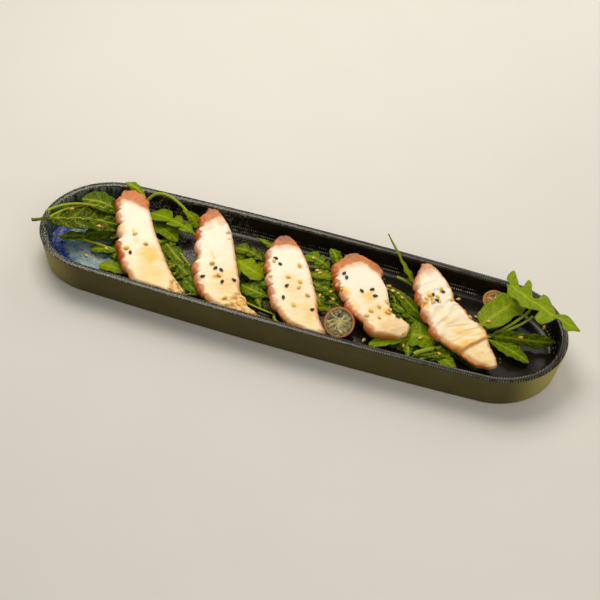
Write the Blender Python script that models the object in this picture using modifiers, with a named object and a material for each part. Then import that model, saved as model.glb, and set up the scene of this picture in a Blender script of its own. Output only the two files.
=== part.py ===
"""Octopus salad in its long stoneware dish.

Five slanting slices of cooked octopus lie across a bed of rocket leaves, with two cherry tomato
halves and sesame seeds. Sizes in the tables below are millimetres; meshes are made in metres.

Frame: X runs along the dish, -Y is the side nearer the eater, Z is up. The origin is the centre
of the dish's flat base.
"""

import math
from dataclasses import dataclass

import bmesh
import bpy
from mathutils import Matrix, Vector

MM = 0.001
OBJECT_NAME = "octopus_salad"

# Clearances and common thicknesses
NODE_GAP = 0.4
CUSHION_GAP = 0.7
SLICE_THICKNESS = 6.5
LEAF_RIB_THICKNESS = 1.2
LEAF_EDGE_THICKNESS = 0.7
LEAF_WAVE_HEIGHT = 0.6
LEAF_WAVE_TURN = 11.0
STEM_STEPS = 6

# Dish: a lozenge with half-round ends and long sides that swell a little
DISH_LENGTH = 360.0
DISH_END_RADIUS = 46.3
DISH_SIDE_SWELL = 2.7
DISH_HALF_STRAIGHT = DISH_LENGTH / 2 - DISH_END_RADIUS
FLOOR_HEIGHT = 8.3
DISH_END_SEGMENTS = 18
DISH_SIDE_SEGMENTS = 8
# (inset from the shoulder, height), from the foot up the outside and over the rim
DISH_OUTSIDE = ((4.7, 0.0), (3.6, 0.5), (3.2, 2.0), (0.4, 22.5), (0.1, 23.6), (0.8, 24.3))
# the same, from the rim down the inside to the floor
DISH_INSIDE = ((2.7, 24.5), (4.6, 24.2), (5.4, 23.2), (6.0, 12.5), (7.0, 10.0), (10.5, FLOOR_HEIGHT))

# Slices: how the section is rounded, as (across, up) of a unit section, left edge first
SLICE_SECTION = (
    (1.0, 0.0), (0.9, 0.75), (0.55, 0.98), (0.0, 1.0), (-0.55, 0.98), (-0.9, 0.75),
    (-1.0, 0.0), (-0.88, -0.8), (-0.45, -1.0), (0.45, -1.0), (0.88, -0.8),
)
SLICE_STATIONS = 27
SLICE_END_ROUND = 5.0
SLICE_END_THICKNESS_SHARE = 0.35
SLICE_LOWEST_UNDERSIDE = FLOOR_HEIGHT + 3.3
SLICE_LEAST_RISE = 1.5
SLICE_RIDGE_PITCH = 9.0
SUCKER_HALF_LENGTH = 5.2

# Sesame seeds
SEED_HALF_LENGTH = 1.6
SEED_HALF_WIDTH = 1.05
SEED_HALF_HEIGHT = 0.75
SEED_SINK = 0.6
SEED_TURN_STEP = 2.4
SEED_DROP_HEIGHT = 100.0

# Cherry tomato halves: the cut face of a unit half as (radius, height), then its round skin
TOMATO_CUT_FACE = ((0.0, -0.05), (0.72, -0.04), (0.9, 0.0))
TOMATO_SKIN_TOP = -0.06
TOMATO_ARC_STEPS = 5
TOMATO_TURN_STEPS = 16


@dataclass(frozen=True)
class Slice:
    """One octopus slice.

    The spine runs from the top of the back end to the top of the front end. Each edge row is
    (along the spine, left edge, right edge, drop of the right side). Suckers are (along, reach).
    """

    name: str
    back: tuple
    front: tuple
    edges: tuple
    suckers: tuple
    seeds: tuple
    bow: float = 1.0
    ridge: float = 0.0


SLICES = (
    Slice(
        name="octopus_slice_1",
        back=(-133.0, 37.0, 27.0),
        front=(-65.0, -37.0, 18.0),
        edges=(
            (-3.0, 7.0, 3.5, 0.0), (0.0, 10.0, -1.0, 0.0), (8.0, 13.5, -6.3, 0.0), (24.0, 17.5, -5.0, 0.0),
            (40.0, 23.0, -2.4, 0.5), (55.0, 26.0, -1.4, 1.0), (69.0, 27.5, -0.8, 2.5), (79.0, 27.0, -1.2, 4.0),
            (89.0, 17.0, -2.6, 4.0), (97.0, 7.5, -3.5, 4.0), (101.5, -0.5, -3.4, 4.0),
        ),
        suckers=((9.5, 1.6), (21.0, 2.0), (34.0, 1.0), (46.5, 2.8), (56.5, 2.2), (65.0, 1.6)),
        seeds=((56.8, 20.3), (50.7, 21.3), (52.6, 8.0), (42.0, 11.9)),
    ),
    Slice(
        name="octopus_slice_2",
        back=(-73.0, 38.5, 27.0),
        front=(-17.0, -36.0, 17.0),
        edges=(
            (-4.0, 4.5, 2.0, 0.0), (-1.5, 6.0, -0.5, 0.0), (4.0, 8.5, -4.0, 0.0), (11.0, 12.0, -5.9, 0.0),
            (20.0, 16.0, -6.8, 0.0), (31.0, 19.5, -5.6, 0.5), (43.0, 24.0, -3.6, 1.0), (55.0, 26.5, -1.6, 1.0),
            (63.0, 27.3, -0.4, 1.5), (71.0, 27.0, 1.2, 3.0), (77.0, 25.0, -0.6, 4.0), (84.0, 18.5, 0.2, 4.5),
            (91.0, 9.0, -3.6, 4.5), (95.0, -1.0, -4.6, 4.5),
        ),
        suckers=((8.0, 1.4), (19.0, 2.2), (29.5, 2.0), (47.0, 2.6), (57.5, 2.0), (66.0, 1.2)),
        seeds=(
            (52.8, 13.2), (55.2, 9.7), (64.0, 3.8), (64.8, 12.0), (57.6, 23.0),
            (47.6, 13.8), (58.9, 12.4), (77.9, 13.7), (82.8, 5.5),
        ),
    ),
    Slice(
        name="octopus_slice_3",
        back=(-20.0, 34.5, 24.0),
        front=(31.0, -36.0, 18.0),
        edges=(
            (-2.0, 5.0, 0.5, 0.0), (1.0, 8.0, -3.2, 0.0), (6.0, 11.5, -5.8, 0.0), (13.0, 15.0, -7.6, 0.0),
            (23.0, 18.5, -8.2, 0.0), (34.0, 21.5, -8.0, 0.5), (47.0, 23.0, -6.4, 1.0), (58.0, 24.2, -5.4, 1.5),
            (68.0, 23.0, -2.6, 2.0), (76.0, 19.0, -2.2, 3.0), (84.0, 10.5, -2.4, 3.5), (89.5, 2.0, -1.6, 3.5),
        ),
        suckers=((14.0, 1.6), (24.0, 2.2), (36.0, 1.6), (47.0, 1.8), (56.0, 1.6)),
        seeds=(
            (20.5, 12.1), (26.3, 10.6), (46.0, 11.8), (55.3, 17.1), (68.0, 1.4),
            (22.3, 12.3), (38.9, 8.8), (44.5, 2.4), (49.0, 4.5), (62.6, 12.1),
        ),
    ),
    Slice(
        name="octopus_slice_4",
        back=(29.0, 35.5, 24.0),
        front=(79.0, -20.0, 19.0),
        edges=(
            (-1.5, 5.5, 0.5, 0.0), (1.0, 10.5, -2.6, 0.0), (6.0, 17.5, -6.0, 0.0), (14.0, 20.5, -11.0, 0.5),
            (21.0, 22.0, -12.6, 1.5), (26.0, 22.2, -8.6, 0.5), (36.0, 23.2, -7.6, 0.5), (46.0, 24.0, -4.4, 0.5),
            (56.0, 21.0, -1.6, 0.5), (62.0, 19.6, -4.8, 0.5), (69.0, 16.5, -7.6, 0.5), (75.0, 6.0, -4.5, 0.5),
        ),
        suckers=((10.5, 1.4), (21.5, 2.4), (32.0, 1.6), (43.0, 1.6), (64.0, 1.4)),
        seeds=(
            (16.8, 14.6), (20.7, 14.8), (34.9, 10.6), (35.9, 3.5), (41.7, 3.9), (57.5, -1.6), (62.5, -2.7),
            (48.2, -1.1), (50.7, 5.5), (52.3, 12.1), (58.8, 9.4),
        ),
    ),
    Slice(
        name="octopus_slice_5",
        back=(78.0, 37.0, 29.0),
        front=(138.0, -26.0, 19.0),
        edges=(
            (-3.0, 4.0, 1.0, 0.0), (1.0, 6.5, -3.0, 0.0), (7.0, 11.0, -5.6, 0.0), (17.0, 16.5, -6.6, 0.0),
            (27.0, 19.8, -5.6, 0.0), (34.0, 21.5, -3.4, 0.0), (41.0, 22.3, -5.8, 0.5), (50.0, 23.2, -6.6, 1.0),
            (58.0, 22.0, -10.8, 1.5), (65.0, 19.0, -9.6, 1.0), (72.0, 15.2, -7.2, 0.5), (80.0, 11.4, -6.0, 0.5),
            (87.5, 4.0, -5.0, 0.5),
        ),
        suckers=((12.0, 1.4), (23.0, 1.6), (37.0, 1.2), (52.0, 1.6)),
        seeds=((25.6, 8.8), (31.6, 9.3), (26.2, 1.4), (23.9, 1.7), (29.7, 16.2), (49.4, -5.1)),
        ridge=0.8,
    ),
)

# Bed of leaves, low between the slices: (x, front edge, back edge, height of its top)
BED_STATIONS = (
    (-131.0, -10.0, 4.0, 10.6), (-112.0, -25.0, 20.0, 10.9), (-96.0, -25.0, 2.0, 10.8),
    (-80.0, -28.0, -9.0, 10.6), (-62.0, -30.0, 12.0, 10.8), (-44.0, -24.0, 21.0, 11.2),
    (-26.0, -24.0, 21.0, 11.0), (-4.0, -26.0, 18.0, 10.8), (14.0, -18.0, 20.0, 10.9),
    (26.0, -9.0, 18.0, 11.0), (44.0, -9.0, 18.0, 11.2), (58.0, -20.0, 20.0, 11.2),
    (76.0, -27.0, 14.0, 11.0), (94.0, -28.0, 10.0, 11.0), (112.0, -22.0, 12.0, 11.2),
    (130.0, -6.0, 14.0, 10.8),
)
CUSHION_INSET = 3.0
CUSHION_STATIONS = 8
CUSHION_FRONT_LIMIT = -34.0


def mirrored(rows):
    """Make a leaf outline whose two halves are alike from rows of (rib, along, across)."""
    return tuple((rib, along, across, along, across) for rib, along, across in rows)


# Leaf outlines, as rows of (place on the rib, left edge along, left edge across, right edge
# along, right edge across); along is a share of the rib, across a share of the half-width
SPOON = mirrored((
    (0.0, 0.0, 0.16), (0.22, 0.22, 0.2), (0.38, 0.38, 0.62), (0.58, 0.58, 0.96), (0.76, 0.76, 0.94),
    (0.92, 0.92, 0.55), (1.0, 1.0, 0.08),
))
BROAD = mirrored((
    (0.0, 0.0, 0.1), (0.17, 0.17, 0.14), (0.25, 0.22, 0.62), (0.4, 0.4, 0.94), (0.58, 0.58, 0.84),
    (0.72, 0.72, 0.98), (0.88, 0.88, 0.72), (1.0, 1.0, 0.12),
))
BLADE = mirrored((
    (0.0, 0.0, 0.3), (0.18, 0.18, 0.8), (0.38, 0.38, 1.0), (0.62, 0.62, 0.66), (0.84, 0.84, 0.32),
    (1.0, 1.0, 0.08),
))
OAK = mirrored((
    (0.0, 0.0, 0.12), (0.17, 0.17, 0.14), (0.24, 0.28, 0.6), (0.31, 0.36, 0.62), (0.35, 0.37, 0.2),
    (0.42, 0.47, 0.8), (0.5, 0.57, 0.84), (0.55, 0.57, 0.26), (0.66, 0.68, 0.92), (0.8, 0.82, 0.86),
    (0.92, 0.94, 0.45), (1.0, 1.0, 0.08),
))
# The big leaf that stands out over the right-hand rim has its own two edges
CREST = (
    (0.0, -0.11, 0.24, -0.05, 0.05), (0.02, -0.15, 0.56, 0.0, 0.22), (0.04, -0.15, 0.9, 0.04, 0.4),
    (0.07, -0.04, 0.6, 0.09, 0.63), (0.1, 0.06, 0.28, 0.13, 0.65), (0.12, 0.07, 0.46, 0.17, 0.6),
    (0.14, 0.045, 0.88, 0.2, 0.58), (0.17, 0.1, 0.85, 0.24, 0.64), (0.21, 0.18, 0.5, 0.29, 0.75),
    (0.26, 0.26, 0.24, 0.34, 0.65), (0.31, 0.3, 0.42, 0.39, 0.43), (0.34, 0.285, 0.77, 0.43, 0.31),
    (0.39, 0.36, 0.75, 0.455, 0.28), (0.46, 0.46, 0.54, 0.48, 0.7), (0.53, 0.54, 0.32, 0.53, 0.95),
    (0.58, 0.6, 0.16, 0.61, 0.94), (0.62, 0.62, 0.15, 0.65, 0.46), (0.65, 0.65, 0.3, 0.66, 0.08),
    (0.73, 0.73, 0.41, 0.75, 0.17), (0.8, 0.83, 0.32, 0.82, 0.43), (0.88, 0.91, 0.18, 0.87, 0.46),
    (0.94, 0.96, 0.09, 0.93, 0.21), (1.0, 1.0, 0.03, 1.0, 0.04),
)


@dataclass(frozen=True)
class Leaf:
    """A leaf blade: outline, rib through base, middle and tip, half-width, roll in degrees and cup."""

    outline: tuple
    base: tuple
    middle: tuple
    tip: tuple
    half_width: float
    roll: float = 0.0
    cup: float = 0.12


@dataclass(frozen=True)
class Stem:
    """A round stem through base, middle and tip."""

    base: tuple
    middle: tuple
    tip: tuple
    radius: float = 0.9


LEAVES = (
    # left end
    Leaf(BROAD, (-180.0, -20.5, 30.0), (-154.0, -1.0, 24.0), (-127.0, 14.0, 13.0), 12.0, 4.0),
    Leaf(SPOON, (-129.0, 18.0, 13.0), (-143.0, 20.0, 22.5), (-161.0, 15.0, 26.5), 8.5, -8.0),
    Leaf(BLADE, (-129.0, 25.0, 15.0), (-143.5, 25.5, 21.0), (-154.0, 23.0, 26.5), 2.6),
    Leaf(SPOON, (-128.0, 0.0, 10.5), (-148.0, -5.0, 12.5), (-167.0, -10.5, 11.5), 4.0),
    Leaf(OAK, (-122.0, 2.0, 11.5), (-137.0, 0.5, 15.5), (-151.0, -5.0, 12.0), 8.0),
    Leaf(SPOON, (-117.0, -8.0, 11.0), (-130.0, -11.0, 11.8), (-142.0, -13.5, 10.2), 4.2),
    Leaf(SPOON, (-103.0, -28.5, 10.8), (-116.0, -26.5, 12.6), (-130.0, -25.5, 10.6), 5.4),
    Leaf(SPOON, (-120.0, 33.0, 15.0), (-128.0, 39.0, 24.6), (-140.0, 42.0, 27.0), 3.4),
    # between the first and second slices
    Leaf(BLADE, (-79.0, 28.0, 15.0), (-86.0, 32.0, 20.5), (-94.0, 33.5, 23.0), 4.0, -30.0),
    Leaf(OAK, (-74.0, 19.0, 14.0), (-96.0, 26.0, 18.0), (-118.0, 29.0, 16.0), 8.5, 8.0),
    Leaf(BROAD, (-116.0, 22.0, 12.5), (-102.0, 19.0, 14.5), (-90.0, 15.0, 10.8), 7.0, -10.0),
    Leaf(OAK, (-103.0, 9.0, 11.0), (-93.0, 6.0, 13.0), (-81.0, -5.0, 11.2), 6.0),
    Leaf(OAK, (-88.0, -5.0, 10.6), (-77.0, -10.0, 12.6), (-64.0, -19.0, 11.0), 6.0, 10.0),
    Leaf(SPOON, (-76.0, -14.0, 10.4), (-67.0, -22.0, 11.6), (-56.0, -29.0, 11.0), 4.2),
    # between the second and third slices
    Leaf(BLADE, (-19.0, 26.0, 13.0), (-28.0, 28.0, 17.5), (-38.0, 29.5, 19.0), 3.6),
    Leaf(OAK, (-24.0, 16.0, 10.4), (-38.0, 20.5, 13.4), (-51.0, 21.0, 12.4), 5.6),
    Leaf(BROAD, (-17.0, 0.0, 11.6), (-31.0, 1.0, 16.5), (-44.0, 6.5, 16.0), 10.0, 12.0),
    Leaf(SPOON, (-9.0, -14.0, 11.0), (-22.0, -14.5, 13.6), (-34.0, -10.0, 12.0), 6.2, -6.0),
    Leaf(SPOON, (-14.0, -5.0, 11.0), (-21.0, -4.5, 13.0), (-28.0, -3.5, 12.0), 3.6),
    # between the third and fourth slices
    Leaf(SPOON, (24.0, 19.0, 12.0), (20.0, 29.0, 18.0), (13.0, 36.0, 21.0), 4.6, 14.0),
    Leaf(OAK, (20.0, 22.0, 12.0), (9.0, 26.0, 17.0), (-3.0, 29.0, 15.0), 6.4),
    Leaf(SPOON, (29.0, 17.0, 11.4), (18.0, 16.5, 14.4), (6.0, 16.0, 12.4), 5.0),
    Leaf(OAK, (33.0, -2.0, 10.8), (23.0, 4.0, 13.4), (11.0, 9.0, 11.4), 6.6),
    Leaf(SPOON, (10.0, 4.0, 10.8), (16.0, -3.0, 12.4), (22.0, -10.0, 10.4), 4.6),
    # between the fourth and fifth slices
    Leaf(BLADE, (77.0, 27.0, 12.4), (63.0, 36.5, 24.0), (49.0, 46.0, 38.0), 3.0, 30.0, 0.3),
    Leaf(BLADE, (91.0, 0.0, 11.0), (73.0, 13.0, 13.8), (56.0, 24.5, 13.0), 6.2, 10.0),
    Leaf(OAK, (88.0, -5.0, 10.8), (77.0, 3.0, 12.8), (64.0, 10.0, 11.6), 5.4),
    Leaf(BROAD, (104.0, -14.0, 11.0), (91.5, -14.5, 14.6), (79.0, -15.0, 11.2), 10.5, -8.0),
    Leaf(SPOON, (86.0, -16.0, 11.0), (73.0, -23.5, 12.8), (60.0, -31.5, 11.6), 4.6),
    Leaf(SPOON, (82.0, -14.0, 10.8), (84.0, -24.0, 12.2), (86.0, -32.0, 10.8), 2.8),
    Leaf(SPOON, (95.0, -19.0, 10.8), (106.0, -26.5, 12.6), (117.0, -31.5, 11.0), 4.8),
    Leaf(SPOON, (118.0, -12.0, 10.8), (110.0, -18.5, 12.2), (102.0, -22.0, 11.4), 3.8),
    # right end
    Leaf(CREST, (135.5, 34.0, 31.0), (161.5, 14.5, 36.0), (184.0, 2.5, 38.0), 13.4, 0.0, 0.1),
    Leaf(BROAD, (118.0, 3.0, 11.0), (133.0, 21.0, 18.5), (144.0, 37.0, 21.0), 11.0),
    Leaf(SPOON, (124.0, 2.0, 10.8), (142.0, -3.5, 12.8), (159.0, -9.0, 10.6), 6.4, -8.0),
    Leaf(BROAD, (122.0, 4.0, 11.4), (149.0, 5.5, 14.6), (172.0, 11.0, 14.4), 5.2, 72.0, 0.05),
)

STEMS = (
    Stem((-174.5, -9.5, 31.0), (-158.0, 9.0, 28.0), (-134.0, 19.0, 17.5)),
    Stem((-171.0, -12.0, 28.5), (-160.0, 7.0, 26.6), (-142.0, 17.0, 22.0), 0.8),
    Stem((-162.5, -8.0, 9.9), (-144.0, -8.5, 12.6), (-116.0, -10.5, 11.0), 1.0),
    Stem((-124.0, 30.0, 14.0), (-110.0, 40.0, 27.5), (-79.0, 28.5, 15.5), 1.1),
    Stem((-110.0, 13.0, 11.0), (-88.0, 2.0, 12.2), (-58.0, -22.0, 10.8), 0.9),
    Stem((-100.0, 15.0, 10.6), (-86.0, 6.0, 12.0), (-70.0, -8.0, 10.8), 0.8),
    Stem((-31.0, -21.5, 10.2), (-18.0, -25.0, 10.8), (-4.0, -27.0, 10.6), 0.7),
    Stem((-4.0, -30.0, 12.6), (1.5, -34.5, 12.0), (14.0, -32.0, 10.8), 0.9),
    Stem((2.0, 22.5, 12.6), (12.0, 23.5, 13.8), (27.0, 24.0, 12.0), 0.9),
    Stem((7.0, 14.0, 11.8), (19.0, 12.0, 12.6), (33.0, 8.0, 11.2), 1.1),
    Stem((13.0, 36.0, 18.0), (18.0, 30.0, 18.5), (26.0, 22.0, 12.0), 0.8),
    Stem((61.0, 33.0, 14.2), (70.0, 30.5, 13.8), (82.0, 25.0, 12.4), 0.9),
    Stem((89.0, -29.0, 11.6), (97.0, -23.0, 13.2), (107.0, -15.0, 11.4), 1.4),
    Stem((134.0, 8.0, 11.6), (147.0, 19.0, 20.0), (152.0, 16.5, 34.0), 1.0),
    Stem((128.0, 2.0, 11.0), (144.0, 14.0, 14.6), (154.0, 24.0, 19.5), 1.0),
    Stem((141.0, 33.0, 19.6), (139.0, 32.0, 25.0), (138.0, 31.5, 31.4), 1.0),
)

# Seeds that lie on leaves, then those on the bare floor of the dish: (x, y)
LEAF_SEEDS = (
    (-162.0, 3.0), (-141.0, -0.5), (-131.0, -11.0), (4.0, 26.0), (12.0, 17.0), (24.0, 3.5), (18.0, -2.0),
    (66.0, 17.0), (70.0, 14.0), (79.5, -19.0), (90.0, -17.0), (104.0, -24.0), (128.0, 12.0), (150.0, 5.6),
)
FLOOR_SEEDS = ((-142.5, -18.5), (-136.0, -30.0), (55.5, -26.0), (104.0, 33.0), (119.0, 21.0), (163.0, 26.0))


@dataclass(frozen=True)
class TomatoHalf:
    """A cherry tomato half: centre of the cut face, radius, depth and the way the face looks."""

    name: str
    centre: tuple
    radius: float
    depth: float
    lean: float
    heading: float


TOMATO_HALVES = (
    TomatoHalf("tomato_half_1", (38.2, -25.2, 17.8), 10.0, 7.5, 42.0, -75.0),
    TomatoHalf("tomato_half_2", (127.5, 31.6, 17.4), 7.7, 8.4, 20.0, -80.0),
)


def smooth_rows(rows, place, column):
    """Read one column of a table at a place between its rows, on a smooth curve through them."""
    last = len(rows) - 1
    index = 0
    while index < last - 1 and place > rows[index + 1][0]:
        index += 1
    before, here = rows[max(index - 1, 0)], rows[index]
    there, after = rows[index + 1], rows[min(index + 2, last)]
    span = there[0] - here[0]
    share = min(max((place - here[0]) / span, 0.0), 1.0)
    slope_here = (there[column] - before[column]) / (there[0] - before[0]) * span
    slope_there = (after[column] - here[column]) / (after[0] - here[0]) * span
    square, cube = share ** 2, share ** 3
    return (
        here[column] * (2 * cube - 3 * square + 1)
        + slope_here * (cube - 2 * square + share)
        + there[column] * (3 * square - 2 * cube)
        + slope_there * (cube - square)
    )


def between(low, high, share):
    """Mix two numbers."""
    return low + (high - low) * share


def mesh_object(bm, name, collection):
    """Turn a bmesh in millimetres into an object in metres, with its faces pointing out."""
    bmesh.ops.recalc_face_normals(bm, faces=bm.faces)
    bmesh.ops.scale(bm, vec=(MM, MM, MM), verts=bm.verts)
    mesh = bpy.data.meshes.new(name)
    bm.to_mesh(mesh)
    bm.free()
    piece = bpy.data.objects.new(name, mesh)
    collection.objects.link(piece)
    return piece


def loft(rings):
    """Skin a row of rings of equal length into one closed body, in a new bmesh."""
    bm = bmesh.new()
    skins = [[bm.verts.new(point) for point in ring] for ring in rings]
    for ring, following in zip(skins, skins[1:]):
        for i in range(len(ring)):
            j = (i + 1) % len(ring)
            bm.faces.new((ring[i], ring[j], following[j], following[i]))
    bm.faces.new(skins[0])
    bm.faces.new(skins[-1])
    return bm


def dish_outline(inset):
    """Return the dish's outline at an inset from its shoulder, anticlockwise."""
    radius = DISH_END_RADIUS - inset
    points = []
    for side in (1, -1):
        for i in range(DISH_END_SEGMENTS):
            angle = math.pi * (i / DISH_END_SEGMENTS - 0.5)
            along = DISH_HALF_STRAIGHT + radius * math.cos(angle)
            points.append((side * along, side * radius * math.sin(angle)))
        for i in range(DISH_SIDE_SEGMENTS):
            share = 1 - 2 * i / DISH_SIDE_SEGMENTS
            swell = DISH_SIDE_SWELL * (1 - share ** 2)
            points.append((side * share * DISH_HALF_STRAIGHT, side * (radius + swell)))
    return points


def dish_inset(x, y):
    """Return how far a plan point lies inside the dish's shoulder."""
    beyond = abs(x) - DISH_HALF_STRAIGHT
    if beyond > 0:
        return DISH_END_RADIUS - math.hypot(beyond, y)
    return DISH_END_RADIUS + DISH_SIDE_SWELL * (1 - (x / DISH_HALF_STRAIGHT) ** 2) - abs(y)


def dish_surface(x, y):
    """Return the height of the dish's upper surface at a plan point, or None outside the dish."""
    inset = dish_inset(x, y)
    if inset < 0:
        return None
    if inset <= DISH_INSIDE[0][0]:
        return DISH_INSIDE[0][1]
    for (near, high), (far, low) in zip(DISH_INSIDE, DISH_INSIDE[1:]):
        if inset <= far:
            return between(high, low, (inset - near) / (far - near))
    return FLOOR_HEIGHT


def build_dish(collection):
    """Loft the dish from its foot, over the rim and down to the floor."""
    rings = [
        [(x, y, height) for x, y in dish_outline(inset)]
        for inset, height in DISH_OUTSIDE + DISH_INSIDE
    ]
    return mesh_object(loft(rings), "stoneware_dish", collection)


def spine_axes(piece):
    """Return a slice's spine length, its plan direction and the direction to its left."""
    run = Vector(piece.front).xy - Vector(piece.back).xy
    direction = run.normalized()
    return run.length, direction, Vector((direction.y, -direction.x))


def slice_edges(piece, along):
    """Return a slice's left and right edge at a place along its spine, suckers included."""
    bumps = sum(
        reach * math.sqrt(max(0.0, 1 - ((along - place) / SUCKER_HALF_LENGTH) ** 2))
        for place, reach in piece.suckers
    )
    return smooth_rows(piece.edges, along, 1) + bumps, smooth_rows(piece.edges, along, 2)


def slice_height(piece, along, share, up):
    """Return the height of a slice's skin.

    share runs from 1 at the left edge to -1 at the right edge, and up from -1 below to 1 on top.
    """
    length = spine_axes(piece)[0]
    start, end = piece.edges[0][0], piece.edges[-1][0]
    progress = (along - start) / (end - start)
    bow = piece.bow * math.sin(math.pi * progress)
    top = between(piece.back[2], piece.front[2], along / length) + bow
    to_end = min(max(min(along - start, end - along) / SLICE_END_ROUND, 0.0), 1.0)
    thickness = SLICE_THICKNESS * between(SLICE_END_THICKNESS_SHARE, 1.0, math.sqrt(to_end))
    right = min(max(0.5 - share * 0.5, 0.0), 1.0)
    drop = smooth_rows(piece.edges, along, 3) * right ** 2
    height = top - SLICE_THICKNESS / 2 + up * thickness / 2 - drop
    if up > 0:
        wave = math.sin(along * 2 * math.pi / SLICE_RIDGE_PITCH)
        height += piece.ridge * wave * math.sin(math.pi * progress) ** 2
    return max(height, SLICE_LOWEST_UNDERSIDE + (1 + up) * SLICE_LEAST_RISE)


def slice_point(piece, along, across, height):
    """Return the world point of a place on a slice."""
    _, direction, left = spine_axes(piece)
    plan = Vector(piece.back).xy + direction * along + left * across
    return Vector((plan.x, plan.y, height))


def slice_ring(piece, along):
    """Return one cross-section of a slice."""
    left, right = slice_edges(piece, along)
    middle, half = (left + right) / 2, (left - right) / 2
    return [
        slice_point(piece, along, middle + half * share, slice_height(piece, along, share, up))
        for share, up in SLICE_SECTION
    ]


def build_slice(piece, collection):
    """Loft one slice, with its stations closer together at the two ends."""
    start, end = piece.edges[0][0], piece.edges[-1][0]
    rings = []
    for i in range(SLICE_STATIONS):
        turn = math.pi * i / (SLICE_STATIONS - 1)
        share = between(i / (SLICE_STATIONS - 1), 0.5 - 0.5 * math.cos(turn), 0.35)
        rings.append(slice_ring(piece, between(start, end, share)))
    return mesh_object(loft(rings), piece.name, collection)


def place_on_slice(piece, x, y):
    """Return a plan point's place along and across a slice's spine."""
    _, direction, left = spine_axes(piece)
    offset = Vector((x, y)) - Vector(piece.back).xy
    return offset.dot(direction), offset.dot(left)


def slice_underside(x, y, margin):
    """Return the height of the lowest slice underside over a plan point, or None if none is near."""
    lowest = None
    for piece in SLICES:
        along, across = place_on_slice(piece, x, y)
        start, end = piece.edges[0][0], piece.edges[-1][0]
        if not start - margin < along < end + margin:
            continue
        held = min(max(along, start), end)
        left, right = slice_edges(piece, held)
        if not right - margin < across < left + margin:
            continue
        share = (across - (left + right) / 2) / ((left - right) / 2)
        height = slice_height(piece, held, min(max(share, -1.0), 1.0), -1.0)
        lowest = height if lowest is None else min(lowest, height)
    return lowest


def fitted_height(x, y, height, half_thickness):
    """Hold a point of the salad above the dish and below the slices."""
    under = slice_underside(x, y, 1.2)
    if under is not None:
        height = min(height, under - NODE_GAP - half_thickness)
    ground = dish_surface(x, y)
    if ground is not None:
        height = max(height, ground + NODE_GAP + half_thickness)
    return height


def build_bed(collection):
    """Loft the low bed of leaves that runs along the dish under the slices."""
    rings = []
    for x, front, back, top in BED_STATIONS:
        bottom = FLOOR_HEIGHT + NODE_GAP
        middle = (front + back) / 2
        rings.append([
            (x, front, bottom), (x, back, bottom), (x, back - 1.0, bottom + 1.6),
            (x, between(middle, back, 0.5), top), (x, between(middle, front, 0.5), top),
            (x, front + 1.0, bottom + 1.6),
        ])
    return mesh_object(loft(rings), "bed", collection)


def build_cushion(piece, collection):
    """Loft the leaves that a slice rests on, up to just under the slice."""
    start, end = piece.edges[0][0] + 2 * CUSHION_INSET, piece.edges[-1][0] - 2 * CUSHION_INSET
    rings = []
    for i in range(CUSHION_STATIONS):
        along = between(start, end, i / (CUSHION_STATIONS - 1))
        left, right = slice_edges(piece, along)
        middle, half = (left + right) / 2, (left - right) / 2 - CUSHION_INSET
        bottom = FLOOR_HEIGHT + NODE_GAP
        ring = [slice_point(piece, along, middle + half * side, bottom) for side in (1.0, -1.0)]
        for share in (-0.92, -0.4, 0.4, 0.92):
            top = slice_height(piece, along, share, -1.0) - CUSHION_GAP
            ring.append(slice_point(piece, along, middle + half * share, top))
        for point in ring:
            point.y = max(point.y, CUSHION_FRONT_LIMIT)
        rings.append(ring)
    return mesh_object(loft(rings), "cushion", collection)


def rib_point(leaf, place):
    """Return a point on the curve through a leaf's or stem's base, middle and tip."""
    base, middle, tip = Vector(leaf.base), Vector(leaf.middle), Vector(leaf.tip)
    control = middle * 2 - (base + tip) / 2
    held = min(max(place, 0.0), 1.0)
    point = base * (1 - held) ** 2 + control * (2 * held * (1 - held)) + tip * held ** 2
    return point + rib_direction(leaf, held) * (place - held)


def rib_direction(leaf, place):
    """Return the direction of that curve, as long as the curve runs for one unit of place."""
    base, middle, tip = Vector(leaf.base), Vector(leaf.middle), Vector(leaf.tip)
    control = middle * 2 - (base + tip) / 2
    return (control - base) * (2 * (1 - place)) + (tip - control) * (2 * place)


def leaf_surface(leaf, place, across, lift):
    """Return the world point of a place on a leaf, lifted off its middle surface."""
    held = min(max(place, 0.0), 1.0)
    forward = rib_direction(leaf, held).normalized()
    flat_side = Vector((0.0, 0.0, 1.0)).cross(forward).normalized()
    flat_up = forward.cross(flat_side)
    roll = math.radians(leaf.roll)
    side = flat_side * math.cos(roll) + flat_up * math.sin(roll)
    up = flat_up * math.cos(roll) - flat_side * math.sin(roll)
    share = across / leaf.half_width
    wave = LEAF_WAVE_HEIGHT * math.sin(place * LEAF_WAVE_TURN + share) * abs(share)
    bend = leaf.cup * leaf.half_width * share ** 2 + wave
    middle = rib_point(leaf, place) + side * across + up * bend
    middle.z = fitted_height(middle.x, middle.y, middle.z, LEAF_RIB_THICKNESS / 2)
    return middle + up * lift


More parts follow.
